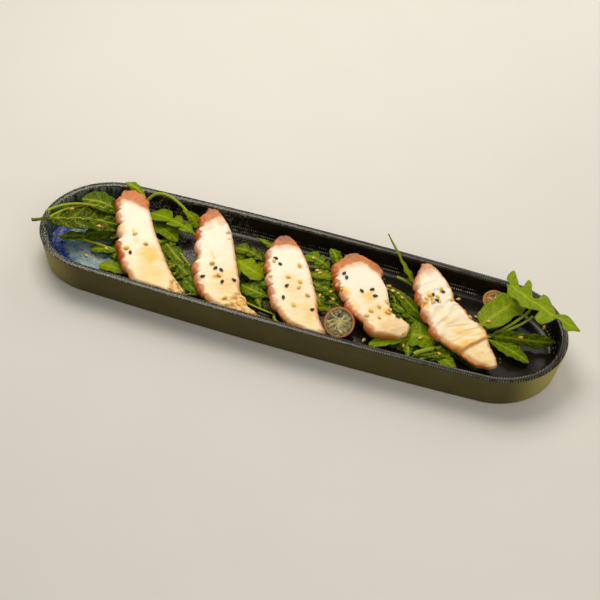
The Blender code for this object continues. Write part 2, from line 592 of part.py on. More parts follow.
def build_leaf(leaf, collection):
    """Skin a leaf as a thin solid, both faces split into triangles alike."""
    bm = bmesh.new()
    rows = []
    for rib, left_along, left_across, right_along, right_across in leaf.outline:
        row = []
        for face in (0.5, -0.5):
            for along, across, thickness in (
                (left_along, left_across, LEAF_EDGE_THICKNESS),
                (rib, 0.0, LEAF_RIB_THICKNESS),
                (right_along, -right_across, LEAF_EDGE_THICKNESS),
            ):
                point = leaf_surface(leaf, along, across * leaf.half_width, face * thickness)
                row.append(bm.verts.new(point))
        rows.append(row)
    for here, there in zip(rows, rows[1:]):
        for face in (0, 3):
            for column in (face, face + 1):
                bm.faces.new((here[column], here[column + 1], there[column + 1]))
                bm.faces.new((here[column], there[column + 1], there[column]))
        bm.faces.new((here[0], there[0], there[3], here[3]))
        bm.faces.new((here[2], here[5], there[5], there[2]))
    for row in (rows[0], rows[-1]):
        bm.faces.new((row[0], row[1], row[4], row[3]))
        bm.faces.new((row[1], row[2], row[5], row[4]))
    return mesh_object(bm, "leaf", collection)


def build_stem(stem, collection):
    """Make a stem as a bevelled curve, then as a closed mesh."""
    curve = bpy.data.curves.new("stem", "CURVE")
    curve.dimensions = "3D"
    curve.bevel_depth = stem.radius * MM
    curve.bevel_resolution = 0
    curve.use_fill_caps = True
    spline = curve.splines.new("POLY")
    spline.points.add(STEM_STEPS - 1)
    for i in range(STEM_STEPS):
        point = rib_point(stem, i / (STEM_STEPS - 1))
        point.z = fitted_height(point.x, point.y, point.z, stem.radius)
        spline.points[i].co = (*(point * MM), 1.0)
    shape = bpy.data.objects.new("stem", curve)
    collection.objects.link(shape)
    evaluated = shape.evaluated_get(bpy.context.evaluated_depsgraph_get())
    bm = bmesh.new()
    bm.from_mesh(evaluated.to_mesh())
    bpy.data.objects.remove(shape)
    bmesh.ops.remove_doubles(bm, verts=bm.verts, dist=0.01 * MM)
    bmesh.ops.scale(bm, vec=(1 / MM, 1 / MM, 1 / MM), verts=bm.verts)
    return mesh_object(bm, "stem", collection)


def build_seed(point, slope, turn, collection):
    """Make one sesame seed that lies on a surface of the given slope."""
    bm = bmesh.new()
    bmesh.ops.create_icosphere(bm, subdivisions=1, radius=1.0)
    size = Matrix.Diagonal((SEED_HALF_LENGTH, SEED_HALF_WIDTH, SEED_HALF_HEIGHT, 1.0))
    lie = slope.to_track_quat("Z", "Y").to_matrix().to_4x4()
    sunk = Matrix.Translation(point + slope * (SEED_HALF_HEIGHT - SEED_SINK))
    matrix = sunk @ lie @ Matrix.Rotation(turn, 4, "Z") @ size
    bmesh.ops.transform(bm, verts=bm.verts, matrix=matrix)
    return mesh_object(bm, "seed", collection)


def seed_on(host, x, y, number, collection):
    """Drop a sesame seed straight down onto a piece and return it."""
    start = Vector((x, y, SEED_DROP_HEIGHT)) * MM
    hit, place, slope, _ = host.ray_cast(start, Vector((0.0, 0.0, -1.0)))
    if not hit:
        return None
    return build_seed(place / MM, slope, number * SEED_TURN_STEP, collection)


def fuse(host, pieces, collection):
    """Join pieces onto their host with one Boolean union, and keep the one body that it makes."""
    group = bpy.data.collections.new("joined")
    for piece in pieces:
        collection.objects.unlink(piece)
        group.objects.link(piece)
    join = host.modifiers.new("join", "BOOLEAN")
    join.operation = "UNION"
    join.operand_type = "COLLECTION"
    join.collection = group
    join.solver = "MANIFOLD"
    evaluated = host.evaluated_get(bpy.context.evaluated_depsgraph_get())
    joined = bpy.data.meshes.new_from_object(evaluated)
    host.modifiers.clear()
    host.data = joined
    for piece in pieces:
        bpy.data.objects.remove(piece)
    bpy.data.collections.remove(group)
    keep_largest_body(host.data)


def keep_largest_body(mesh):
    """Delete loose scraps and the walls of sealed hollows."""
    bm = bmesh.new()
    bm.from_mesh(mesh)
    left = set(bm.faces)
    bodies = []
    while left:
        body, edge_of_body = set(), [left.pop()]
        while edge_of_body:
            face = edge_of_body.pop()
            body.add(face)
            for edge in face.edges:
                for neighbour in edge.link_faces:
                    if neighbour in left:
                        left.remove(neighbour)
                        edge_of_body.append(neighbour)
        bodies.append(body)
    largest = max(bodies, key=len)
    spare = [face for body in bodies if body is not largest for face in body]
    bmesh.ops.delete(bm, geom=spare, context="FACES")
    bmesh.ops.dissolve_degenerate(bm, edges=bm.edges, dist=0.002 * MM)
    bm.to_mesh(mesh)
    bm.free()


def build_tomato(half, collection):
    """Turn a tomato half from its outline and lay it with its cut face leaning."""
    outline = list(TOMATO_CUT_FACE)
    for i in range(TOMATO_ARC_STEPS):
        angle = math.pi / 2 * i / TOMATO_ARC_STEPS
        height = between(TOMATO_SKIN_TOP, -1.0, math.sin(angle))
        outline.append((math.cos(angle), height))
    outline.append((0.0, -1.0))
    mesh = bpy.data.meshes.new(half.name)
    points = [(r * half.radius * MM, 0.0, z * half.depth * MM) for r, z in outline]
    mesh.from_pydata(points, [(i, i + 1) for i in range(len(points) - 1)], [])
    piece = bpy.data.objects.new(half.name, mesh)
    collection.objects.link(piece)
    turn = piece.modifiers.new("turn", "SCREW")
    turn.steps = TOMATO_TURN_STEPS
    turn.render_steps = TOMATO_TURN_STEPS
    turn.use_merge_vertices = True
    turn.merge_threshold = 0.00005
    piece.location = Vector(half.centre) * MM
    lean = Matrix.Rotation(math.radians(half.lean), 3, "Y")
    heading = Matrix.Rotation(math.radians(half.heading), 3, "Z")
    piece.rotation_euler = (heading @ lean).to_euler()
    return piece


def material(name, colour, roughness):
    """Make a Principled material."""
    finish = bpy.data.materials.new(name)
    finish.use_nodes = True
    shader = finish.node_tree.nodes["Principled BSDF"]
    shader.inputs["Base Color"].default_value = (*colour, 1.0)
    shader.inputs["Roughness"].default_value = roughness
    shader.inputs["Metallic"].default_value = 0.0
    return finish


def finish_object(piece, surface):
    """Give a piece its material and smooth shading that keeps its sharp edges."""
    piece.data.materials.clear()
    piece.data.materials.append(surface)
    piece.data.shade_smooth()
    if piece.data.polygons:
        piece.data.set_sharp_from_angle(angle=math.radians(40))


def build_salad(collection):
    """Fuse the bed, the cushions, the leaves, the stems and their seeds into the one heap."""
    salad = build_bed(collection)
    salad.name = "rocket_salad"
    pieces = [build_cushion(piece, collection) for piece in SLICES]
    pieces += [build_leaf(leaf, collection) for leaf in LEAVES]
    pieces += [build_stem(stem, collection) for stem in STEMS]
    fuse(salad, pieces, collection)
    seeds = [seed_on(salad, x, y, number, collection) for number, (x, y) in enumerate(LEAF_SEEDS)]
    fuse(salad, [seed for seed in seeds if seed], collection)
    return salad


def build_sliced_octopus(collection):
    """Build the five slices with the seeds that lie on them."""
    slices = []
    for piece in SLICES:
        body = build_slice(piece, collection)
        seeds = []
        for number, (along, across) in enumerate(piece.seeds):
            spot = slice_point(piece, along, across, 0.0)
            seeds.append(seed_on(body, spot.x, spot.y, number, collection))
        fuse(body, [seed for seed in seeds if seed], collection)
        slices.append(body)
    return slices


def main():
    """Build the dish and all that is in it."""
    for old in list(bpy.data.objects):
        bpy.data.objects.remove(old)
    collection = bpy.data.collections.new(OBJECT_NAME)
    bpy.context.scene.collection.children.link(collection)
    whole = bpy.data.objects.new(OBJECT_NAME, None)
    collection.objects.link(whole)

    dish = build_dish(collection)
    bpy.context.view_layer.update()
    floor_seeds = [seed_on(dish, x, y, number, collection) for number, (x, y) in enumerate(FLOOR_SEEDS)]
    fuse(dish, [seed for seed in floor_seeds if seed], collection)
    slices = build_sliced_octopus(collection)
    salad = build_salad(collection)
    halves = [build_tomato(half, collection) for half in TOMATO_HALVES]

    stoneware = material("stoneware", (0.05, 0.05, 0.045), 0.3)
    octopus = material("octopus", (0.85, 0.72, 0.52), 0.35)
    rocket = material("rocket", (0.09, 0.2, 0.02), 0.4)
    tomato = material("tomato", (0.32, 0.12, 0.04), 0.25)
    finish_object(dish, stoneware)
    finish_object(salad, rocket)
    for piece in slices:
        finish_object(piece, octopus)
    for piece in halves:
        finish_object(piece, tomato)
    for piece in [dish, salad, *slices, *halves]:
        piece.parent = whole


main()
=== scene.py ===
"""Octopus salad in its long stoneware dish, dressed in its real surfaces.

Sizes are millimetres in the row frame: X runs along the dish, -Y is the near side and Z is up.
In the finishes, names in _mm are the real sizes of patterns and names in _m are places in metres.
Places on a slice are given along its spine, from the back end, and across it, left being positive.
"""

import logging
import math
import random
from dataclasses import dataclass
from enum import Enum
from functools import cached_property

import bmesh
import bpy
from mathutils import Matrix, Vector, noise
from mathutils.bvhtree import BVHTree


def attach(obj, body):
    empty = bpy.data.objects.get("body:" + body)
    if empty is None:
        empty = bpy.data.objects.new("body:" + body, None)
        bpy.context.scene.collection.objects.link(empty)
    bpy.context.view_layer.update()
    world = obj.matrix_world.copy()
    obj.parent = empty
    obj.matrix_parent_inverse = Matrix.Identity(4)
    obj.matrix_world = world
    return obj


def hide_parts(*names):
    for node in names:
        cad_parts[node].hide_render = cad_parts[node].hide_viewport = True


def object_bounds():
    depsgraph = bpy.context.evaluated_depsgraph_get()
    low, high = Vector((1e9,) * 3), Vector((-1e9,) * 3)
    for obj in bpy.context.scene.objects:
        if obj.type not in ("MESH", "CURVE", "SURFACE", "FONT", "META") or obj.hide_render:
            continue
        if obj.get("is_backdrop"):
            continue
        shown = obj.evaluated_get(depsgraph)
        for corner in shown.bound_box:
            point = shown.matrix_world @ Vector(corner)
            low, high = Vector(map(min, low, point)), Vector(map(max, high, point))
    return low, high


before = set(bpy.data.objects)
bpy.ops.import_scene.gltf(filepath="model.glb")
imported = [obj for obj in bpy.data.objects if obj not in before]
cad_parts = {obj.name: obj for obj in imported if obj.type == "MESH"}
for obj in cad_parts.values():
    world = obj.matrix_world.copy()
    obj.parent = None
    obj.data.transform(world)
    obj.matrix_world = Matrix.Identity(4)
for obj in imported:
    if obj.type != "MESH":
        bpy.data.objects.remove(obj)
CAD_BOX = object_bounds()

MM = 0.001
DOWN = Vector((0.0, 0.0, -1.0))
Socket = bpy.types.NodeSocket
Material = bpy.types.Material
log = logging.getLogger("octopus_salad")


# Small helpers


def linear(hex_colour: str) -> tuple[float, float, float, float]:
    """Turn an sRGB hex colour into linear RGBA.

    Args:
        hex_colour: the colour, as a hash sign and six digits.

    Returns:
        Its linear red, green and blue, and an alpha of 1.
    """
    channels = [int(hex_colour[i : i + 2], 16) / 255 for i in (1, 3, 5)]
    lit = [c / 12.92 if c <= 0.04045 else ((c + 0.055) / 1.055) ** 2.4 for c in channels]
    return (lit[0], lit[1], lit[2], 1.0)


def per_metre(size_mm: float) -> float:
    """Return the texture scale whose pattern repeats about every size_mm."""
    return 1.0 / (size_mm * MM)


def between(low: float, high: float, share: float) -> float:
    """Mix two numbers."""
    return low + (high - low) * share


def clamp(value: float, low: float = 0.0, high: float = 1.0) -> float:
    """Hold a number between two others."""
    return min(max(value, low), high)


def smooth_step(low: float, high: float, value: float) -> float:
    """Rise smoothly from 0 at low to 1 at high."""
    share = clamp((value - low) / (high - low))
    return share * share * (3 - 2 * share)


def lumps(x: float, y: float, size_mm: float, layer: float = 0.0) -> float:
    """Return smooth noise from about -1 to 1 with lumps of the given size."""
    return noise.noise(Vector((x / size_mm, y / size_mm, layer)))


def curve_through(stops: tuple, share: float) -> float | Vector:
    """Read a smooth curve through four numbers or points, between the middle two.

    Args:
        stops: the four numbers or points.
        share: 0 at the second to 1 at the third.

    Returns:
        The number or point there.
    """
    p0, p1, p2, p3 = stops
    return (
        p1 * 2 + (p2 - p0) * share + (p0 * 2 - p1 * 5 + p2 * 4 - p3) * share**2
        + (p1 * 3 - p0 - p2 * 3 + p3) * share**3
    ) * 0.5


def smooth_rows(rows: tuple, place: float, column: int) -> float:
    """Read one column of a table on a smooth curve through its rows.

    Args:
        rows: rows that start with their place, in rising order.
        place: where to read.
        column: which number of a row to read.

    Returns:
        The value there.
    """
    last = len(rows) - 1
    index = 0
    while index < last - 1 and place > rows[index + 1][0]:
        index += 1
    before, here = rows[max(index - 1, 0)], rows[index]
    there, after = rows[index + 1], rows[min(index + 2, last)]
    span = there[0] - here[0]
    share = clamp((place - here[0]) / span)
    slope_here = (there[column] - before[column]) / (there[0] - before[0]) * span
    slope_there = (after[column] - here[column]) / (after[0] - here[0]) * span
    square, cube = share**2, share**3
    return (
        here[column] * (2 * cube - 3 * square + 1)
        + slope_here * (cube - 2 * square + share)
        + there[column] * (3 * square - 2 * cube)
        + slope_there * (cube - square)
    )


def straight_rows(rows: tuple, place: float) -> float:
    """Read a two-column table on straight lines between its rows, held at its ends.

    Args:
        rows: rows of a place and its value, in rising order.
        place: where to read.

    Returns:
        The value there.
    """
    if place <= rows[0][0]:
        return rows[0][1]
    for (x0, y0), (x1, y1) in zip(rows, rows[1:]):
        if place <= x1:
            return between(y0, y1, (place - x0) / (x1 - x0))
    return rows[-1][1]


class Piece:
    """The vertices, faces and painted marks of one piece, gathered before its mesh is made."""

    def __init__(self, name: str) -> None:
        """Start an empty piece.

        Args:
            name: the name of its mesh and object.
        """
        self.name = name
        self.points: list[Vector] = []
        self.faces: list[tuple[int, ...]] = []
        self.face_finish: list[int] = []
        self.marks: dict[str, list[float]] = {}

    def add_point(self, point: Vector, **marks: float) -> int:
        """Add a vertex with its painted marks.

        Args:
            point: the vertex.
            marks: how strongly each mark shows there. A mark that isn't given is 0.

        Returns:
            The vertex's number.
        """
        for name, value in marks.items():
            column = self.marks.setdefault(name, [])
            column.extend([0.0] * (len(self.points) - len(column)))
            column.append(value)
        self.points.append(point)
        return len(self.points) - 1

    def add_face(self, corners: tuple[int, ...], finish: int = 0) -> None:
        """Add a face with the number of its finish."""
        self.faces.append(corners)
        self.face_finish.append(finish)

    def add_rings(self, rings: list[list[int]], finishes: list[int] | None = None) -> None:
        """Skin a row of closed rings of vertex numbers and close its two ends.

        Args:
            rings: vertex numbers, ring by ring, all of one length.
            finishes: the finish of each band of faces, or None for all zero.
        """
        finishes = finishes or [0] * len(rings)
        for finish, ring, following in zip(finishes, rings, rings[1:]):
            for i in range(len(ring)):
                j = (i + 1) % len(ring)
                self.add_face((ring[i], ring[j], following[j], following[i]), finish)
        for end in (0, -1):
            self.add_face(tuple(rings[end]), finishes[end])

    def add_copy(self, shape: tuple[list[Vector], list[tuple[int, ...]]], matrix: Matrix) -> None:
        """Add a moved copy of a shape.

        Args:
            shape: the shape's points and faces.
            matrix: how the copy is moved.
        """
        points, faces = shape
        first = len(self.points)
        for point in points:
            self.add_point(matrix @ point)
        for corners in faces:
            self.add_face(tuple(first + corner for corner in corners))

    def build(self, finishes: list[Material], slot: str, replaces: str | None = None) -> bpy.types.Object:
        """Make the mesh object and put it on the frame.

        Args:
            finishes: the materials, in the order of the faces' finish numbers.
            slot: the record's material slot; not used.
            replaces: the CAD node that the piece stands for, if it does.

        Returns:
            The new object.
        """
        mesh = bpy.data.meshes.new(self.name)
        mesh.from_pydata([point * MM for point in self.points], [], self.faces)
        mesh.polygons.foreach_set("material_index", self.face_finish)
        for name, column in self.marks.items():
            column.extend([0.0] * (len(self.points) - len(column)))
            mesh.attributes.new(name, "FLOAT", "POINT").data.foreach_set("value", column)
        draft = bmesh.new()
        draft.from_mesh(mesh)
        bmesh.ops.recalc_face_normals(draft, faces=draft.faces)
        draft.to_mesh(mesh)
        draft.free()
        mesh.shade_smooth()
        for finish in finishes:
            mesh.materials.append(finish)
        piece = bpy.data.objects.new(self.name, mesh)
        bpy.context.scene.collection.objects.link(piece)
        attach(piece, "root")
        if replaces:
            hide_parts(replaces)
        log.info("%s: %d vertices", self.name, len(self.points))
        return piece


# Finishes

# What the nodes of a kind have in common: the sockets that are filled in, the output that is used
# and the usual settings
NODE_HABITS: dict[str, tuple[tuple[int | str, ...], int | str, dict[str, str]]] = {
    "Attribute": ((), "Fac", {}),
    "Bump": (("Height", "Distance"), "Normal", {}),
    "CombineXYZ": ((0, 1, 2), 0, {}),
    "Mapping": (("Vector", "Scale"), 0, {}),
    "MapRange": ((0, 1, 2), 0, {"interpolation_type": "SMOOTHSTEP"}),
    "Math": ((0, 1, 2), 0, {"operation": "MULTIPLY"}),
    "Mix": ((0, 6, 7), 2, {"data_type": "RGBA"}),
    "SeparateXYZ": ((0,), 0, {}),
    "TexCoord": ((), "Object", {}),
    "TexNoise": (("Vector", "Scale", "Detail"), "Fac", {}),
    "TexVoronoi": (("Vector", "Scale"), "Distance", {"feature": "DISTANCE_TO_EDGE"}),
    "ValToRGB": ((0,), 0, {}),
    "VectorMath": ((0,), "Value", {"operation": "LENGTH"}),
}


class Recipe:
    """A material as it is mixed: its node tree, its shader and the place in the row frame."""

    def __init__(self, name: str, roughness: float, **sockets: float | tuple) -> None:
        """Start a material from its shader's plain numbers.

        Args:
            name: the material's name.
            roughness: the shader's roughness.
            sockets: other plain numbers, with the socket's words joined by underscores.
        """
        self.material = bpy.data.materials.new(name)
        self.material.use_nodes = True
        self.tree = self.material.node_tree
        self.shader = self.tree.nodes["Principled BSDF"]
        for words, value in {"roughness": roughness, **sockets}.items():
            self.shader.inputs[words.replace("_", " ").title().replace("Ior", "IOR")].default_value = value
        self.place = self.add("TexCoord")

    @cached_property
    def axes(self) -> list[Socket]:
        """Return the place's three coordinates, as outputs."""
        return list(self.add("SeparateXYZ", self.place).node.outputs)

    def add(
        self, kind: str, *values: float | str | tuple | Socket, stops: tuple = (), **settings: str
    ) -> Socket:
        """Add a node with its settings and links.

        Args:
            kind: the node's type, without its first words Shader Node.
            values: a number, a hex colour or another output for each socket in NODE_HABITS.
            stops: places and hex colours of a colour ramp.
            settings: the node's own settings, over the usual ones.

        Returns:
            The output that NODE_HABITS gives for the kind.
        """
        sockets, output, habits = NODE_HABITS[kind]
        node = self.tree.nodes.new("ShaderNode" + kind)
        for name, value in (habits | settings).items():
            setattr(node, name, value)
        for socket, value in zip(sockets, values):
            if isinstance(value, Socket):
                self.tree.links.new(value, node.inputs[socket])
            else:
                node.inputs[socket].default_value = linear(value) if isinstance(value, str) else value
        if stops:
            ramp = node.color_ramp
            while len(ramp.elements) < len(stops):
                ramp.elements.new(0.5)
            for element, (place, colour) in zip(ramp.elements, stops):
                element.position = place
                element.color = linear(colour)
        return node.outputs[output]

    def blotches(self, size_mm: float, detail: float, low: float, high: float) -> Socket:
        """Cut noise of a real size into soft-edged blotches.

        Args:
            size_mm: how far apart the blotches lie.
            detail: how many finer layers the noise has.
            low: the noise that is still bare.
            high: the noise that is fully covered.

        Returns:
            The output that gives the cover, from 0 to 1.
        """
        return self.add("MapRange", self.add("TexNoise", self.place, per_metre(size_mm), detail), low, high)

    def paint_marks(self, colour: Socket, paints: tuple[tuple[str, str | Socket], ...]) -> Socket:
        """Lay paints over a colour, each where its mark was painted on the mesh.

        Args:
            colour: the output that gives the ground colour.
            paints: each mark's name and its colour, in the order in which they are laid.

        Returns:
            The output that gives the painted colour.
        """
        for mark, paint in paints:
            colour = self.add("Mix", self.add("Attribute", attribute_name=mark), colour, paint)
        return colour

    def finish(self, colour: Socket, relief: Socket | None = None, height_mm: float = 0.1) -> Material:
        """Wire the colour and the relief to the shader.

        Args:
            colour: the output that gives the colour.
            relief: the output that gives the relief, or None for a smooth surface.
            height_mm: how high the relief stands.

        Returns:
            The material.
        """
        self.tree.links.new(colour, self.shader.inputs["Base Color"])
        if relief:
            self.tree.links.new(self.add("Bump", relief, height_mm * MM), self.shader.inputs["Normal"])
        return self.material


@dataclass(frozen=True)
class RawStoneware:
    """Stoneware clay, unglazed, wheel-trimmed and fired.

    Its open surface scatters the light, so it looks matt, olive grey-brown and cloudy, with small iron
    specks and faint level rings from the trimming. It turns paler at the dish's two ends.
    """

    body: str = "#534c20"
    shade: str = "#443d16"
    pale_end: str = "#b0a458"
    speck: str = "#1d1a12"
    roughness: float = 0.75
    specular: float = 0.3
    cloud_mm: float = 14.0
    ring_mm: float = 1.6
    # Grit and iron specks are really 0.2 to 0.5 mm, and are drawn coarser so that they show
    grit_mm: float = 0.8
    speck_mm: float = 1.3
    # Along the dish, where each end starts to turn pale and where it is palest
    pale_ends_m: tuple = ((-0.130, -0.176), (0.150, 0.182))
    relief_mm: float = 0.12

    def build(self) -> Material:
        """Mix the material.

        Returns:
            The material.
        """
        mix = Recipe("raw_stoneware", self.roughness, specular_ior_level=self.specular)
        clouds = mix.add("TexNoise", mix.place, per_metre(self.cloud_mm), 4.0)
        colour = mix.add("Mix", clouds, self.shade, self.body)
        for start, stop in self.pale_ends_m:
            colour = mix.add("Mix", mix.add("MapRange", mix.axes[0], start, stop), colour, self.pale_end)
        colour = mix.add("Mix", mix.blotches(self.speck_mm, 1.0, 0.7, 0.76), colour, self.speck)
        turned = mix.add("CombineXYZ", 0.0, 0.0, mix.axes[2])
        rings = mix.add("TexNoise", turned, per_metre(self.ring_mm), 2.0)
        grit = mix.add("TexNoise", mix.place, per_metre(self.grit_mm), 2.0)
        return mix.finish(colour, mix.add("Math", rings, grit, operation="ADD"), self.relief_mm)


@dataclass(frozen=True)
class ReactiveGlaze:
    """Reactive stoneware glaze, dipped and fired to a smooth glassy coat.

    It looks wet and black, with mossy crystals. Where it ran thick at the left end it broke into a
    grey-blue pool with a cobalt edge, and it thinned out to a speckled olive-grey on the rim. Rows of
    small light dots where the wall turns are painted highlights: the lights glinting on glaze beading.
    """

    black: str = "#14120b"
    warm_black: str = "#242015"
    rim: str = "#1f1d14"
    speckle: str = "#4d4833"
    # The colour of the painted highlights in the rows where the wall turns
    bead_highlight: str = "#c9c4ac"
    frost: str = "#98a390"
    night_green: str = "#2b3530"
    teal: str = "#1c414c"
    cobalt: str = "#102e90"
    pool: str = "#93a7a2"
    pool_deep: str = "#6689a4"
    pool_fleck: str = "#33505f"
    moss: str = "#74745f"
    roughness: float = 0.22
    coat: float = 0.08
    specular: float = 0.28
    # The rim's speckle and the mossy flecks are really 0.3 to 1 mm, and are drawn at the coarser end
    speckle_mm: float = 0.9
    fleck_mm: float = 1.4
    patch_mm: float = 9.0
    cloud_mm: float = 24.0
    drift_mm: float = 16.0
    run_mm: float = 3.2
    run_stretch: float = 0.3
    pool_mottle_mm: float = 5.0
    pool_fleck_mm: float = 1.8
    crystal_mm: float = 1.1
    bead_highlight_pitch_mm: float = 1.5
    bead_highlight_gap_mm: float = 7.0
    # Heights between which a row of painted highlights lies, and how strongly it shows
    bead_highlight_rows_m: tuple = (
        (0.0100, 0.0106, 1.0), (0.0124, 0.0130, 0.8), (0.0231, 0.0234, 0.3), (0.0239, 0.0242, 0.22),
    )
    bead_highlight_softness_m: float = 0.0002
    # Along the dish: the blue end, the mossy flecks, the frosty rim, the plain rim and the end's tip
    blue_end_m: tuple = (-0.112, -0.128)
    mossy_m: tuple = (-0.03, -0.08)
    frosty_rim_m: tuple = (0.05, -0.15)
    plain_rim_m: tuple = (0.0, 0.17)
    tip_m: tuple = (-0.100, -0.152)
    # Upwards: the wall above the floor, the rim, the wall's dark green and its frosty runs
    wall_m: tuple = (0.0095, 0.0125)
    rim_m: tuple = (0.0236, 0.0246)
    green_m: tuple = (0.012, 0.018)
    runs_m: tuple = (0.011, 0.024)
    # How far the drift moves the blue end, the pool's edge and, with the speckle, the rim's line
    end_wander_m: float = 0.05
    pool_wander_m: float = 0.014
    rim_wander_m: float = 0.002
    pool_centre_m: float = -0.1337
    pool_edge_m: tuple = (0.0295, 0.0335)
    relief_mm: float = 0.1

    def build(self) -> Material:
        """Mix the material: black ground, mossy flecks, the blue end, the speckled rim and painted
        highlights.

        Returns:
            The material.
        """
        mix = Recipe(
            "reactive_glazed_stoneware", self.roughness, coat_weight=self.coat, coat_roughness=0.08,
            specular_ior_level=self.specular,
        )
        drift = mix.add("TexNoise", mix.place, per_metre(self.drift_mm), 3.0)
        drift = mix.add("Math", drift, 0.5, operation="SUBTRACT")
        along = mix.add("Math", drift, self.end_wander_m, mix.axes[0], operation="MULTIPLY_ADD")
        fine = mix.add("TexNoise", mix.place, per_metre(self.speckle_mm), 2.0)

        clouds = mix.add("TexNoise", mix.place, per_metre(self.cloud_mm), 3.0)
        colour = mix.add("Mix", clouds, self.black, self.warm_black)
        flecks = mix.add(
            "Math", mix.blotches(self.fleck_mm, 2.0, 0.5, 0.6), mix.blotches(self.patch_mm, 2.0, 0.35, 0.55)
        )
        mossy = mix.add("Math", flecks, mix.add("MapRange", along, *self.mossy_m))
        colour = mix.add("Mix", mossy, colour, self.moss)
        blue_end = mix.add("MapRange", along, *self.blue_end_m)
        for heights, paint in (
            (self.wall_m[::-1], self.pool_colour(mix, drift)), (self.wall_m, self.wall_colour(mix)),
        ):
            share = mix.add("Math", blue_end, mix.add("MapRange", mix.axes[2], *heights))
            colour = mix.add("Mix", share, colour, paint)

        bright = mix.add("Mix", mix.add("MapRange", along, *self.frosty_rim_m), self.speckle, self.frost)
        bright = mix.add("Mix", mix.add("MapRange", along, *self.plain_rim_m), bright, self.rim)
        rim = mix.add("Mix", mix.add("MapRange", fine, 0.54, 0.66), self.rim, bright)
        rise = mix.add("Math", fine, self.rim_wander_m, mix.axes[2], operation="MULTIPLY_ADD")
        colour = mix.add("Mix", mix.add("MapRange", rise, *self.rim_m), colour, rim)
        return mix.finish(self.painted_bead_highlights(mix, colour), fine, self.relief_mm)

    def painted_bead_highlights(self, mix: Recipe, colour: Socket) -> Socket:
        """Add painted highlights in dotted rows on the glaze beading where the wall meets the floor and the
        rim.

        Args:
            mix: the material's recipe.
            colour: the glaze without the painted highlights.

        Returns:
            The glaze with its painted highlights.
        """
        # The dots are painted highlights, glints of the lights on the glaze beading, in broken runs
        turns = mix.add("Math", mix.axes[0], 2 * math.pi * per_metre(self.bead_highlight_pitch_mm))
        bead_glints = mix.add("MapRange", mix.add("Math", turns, operation="SINE"), 0.1, 0.7)
        bead_glints = mix.add("Math", bead_glints, mix.blotches(self.bead_highlight_gap_mm, 2.0, 0.36, 0.55))
        for low, high, strength in self.bead_highlight_rows_m:
            above = mix.add("MapRange", mix.axes[2], low, low + self.bead_highlight_softness_m)
            below = mix.add("MapRange", mix.axes[2], high + self.bead_highlight_softness_m, high)
            row = mix.add("Math", mix.add("Math", mix.add("Math", above, below), bead_glints), strength)
            colour = mix.add("Mix", row, colour, self.bead_highlight)
        return colour

    def pool_colour(self, mix: Recipe, drift: Socket) -> Socket:
        """Mix the blue floor: cobalt round its edge, and a mottled grey-blue pool inside.

        Args:
            mix: the material's recipe.
            drift: a slow noise that makes the cobalt's edge wander.

        Returns:
            The floor's colour at the left end.
        """
        from_end = mix.add("Math", mix.axes[0], self.pool_centre_m, operation="SUBTRACT")
        radius = mix.add("VectorMath", mix.add("CombineXYZ", from_end, mix.axes[1]))
        swirl = mix.add("Math", drift, self.pool_wander_m, radius, operation="MULTIPLY_ADD")
        pool = mix.add("Mix", mix.blotches(self.pool_mottle_mm, 4.0, 0.42, 0.68), self.pool, self.pool_deep)
        pool = mix.add("Mix", mix.add("MapRange", swirl, *self.pool_edge_m), pool, self.cobalt)
        pool = mix.add("Mix", mix.blotches(self.pool_fleck_mm, 3.0, 0.54, 0.68), pool, self.pool_fleck)
        return mix.add("Mix", mix.blotches(self.crystal_mm, 2.0, 0.58, 0.7), pool, self.frost)

    def wall_colour(self, mix: Recipe) -> Socket:
        """Mix the end's inner wall: teal low down, then dark green with frosty runs under the rim.

        Args:
            mix: the material's recipe.

        Returns:
            The wall's colour at the left end.
        """
        stretched = mix.add("Mapping", mix.place, (1.0, 1.0, self.run_stretch))
        runs = mix.add("MapRange", mix.add("TexNoise", stretched, per_metre(self.run_mm), 5.0), 0.34, 0.66)
        wall = mix.add("Mix", mix.add("MapRange", mix.axes[2], *self.green_m), self.teal, self.night_green)
        high = mix.add("MapRange", mix.axes[2], *self.runs_m)
        tip = mix.add("MapRange", mix.axes[0], *self.tip_m)
        share = mix.add("Math", tip, 0.75, 0.15, operation="MULTIPLY_ADD")
        frosted = mix.add("Math", mix.add("Math", runs, high), share)
        return mix.add("Mix", frosted, wall, self.frost)


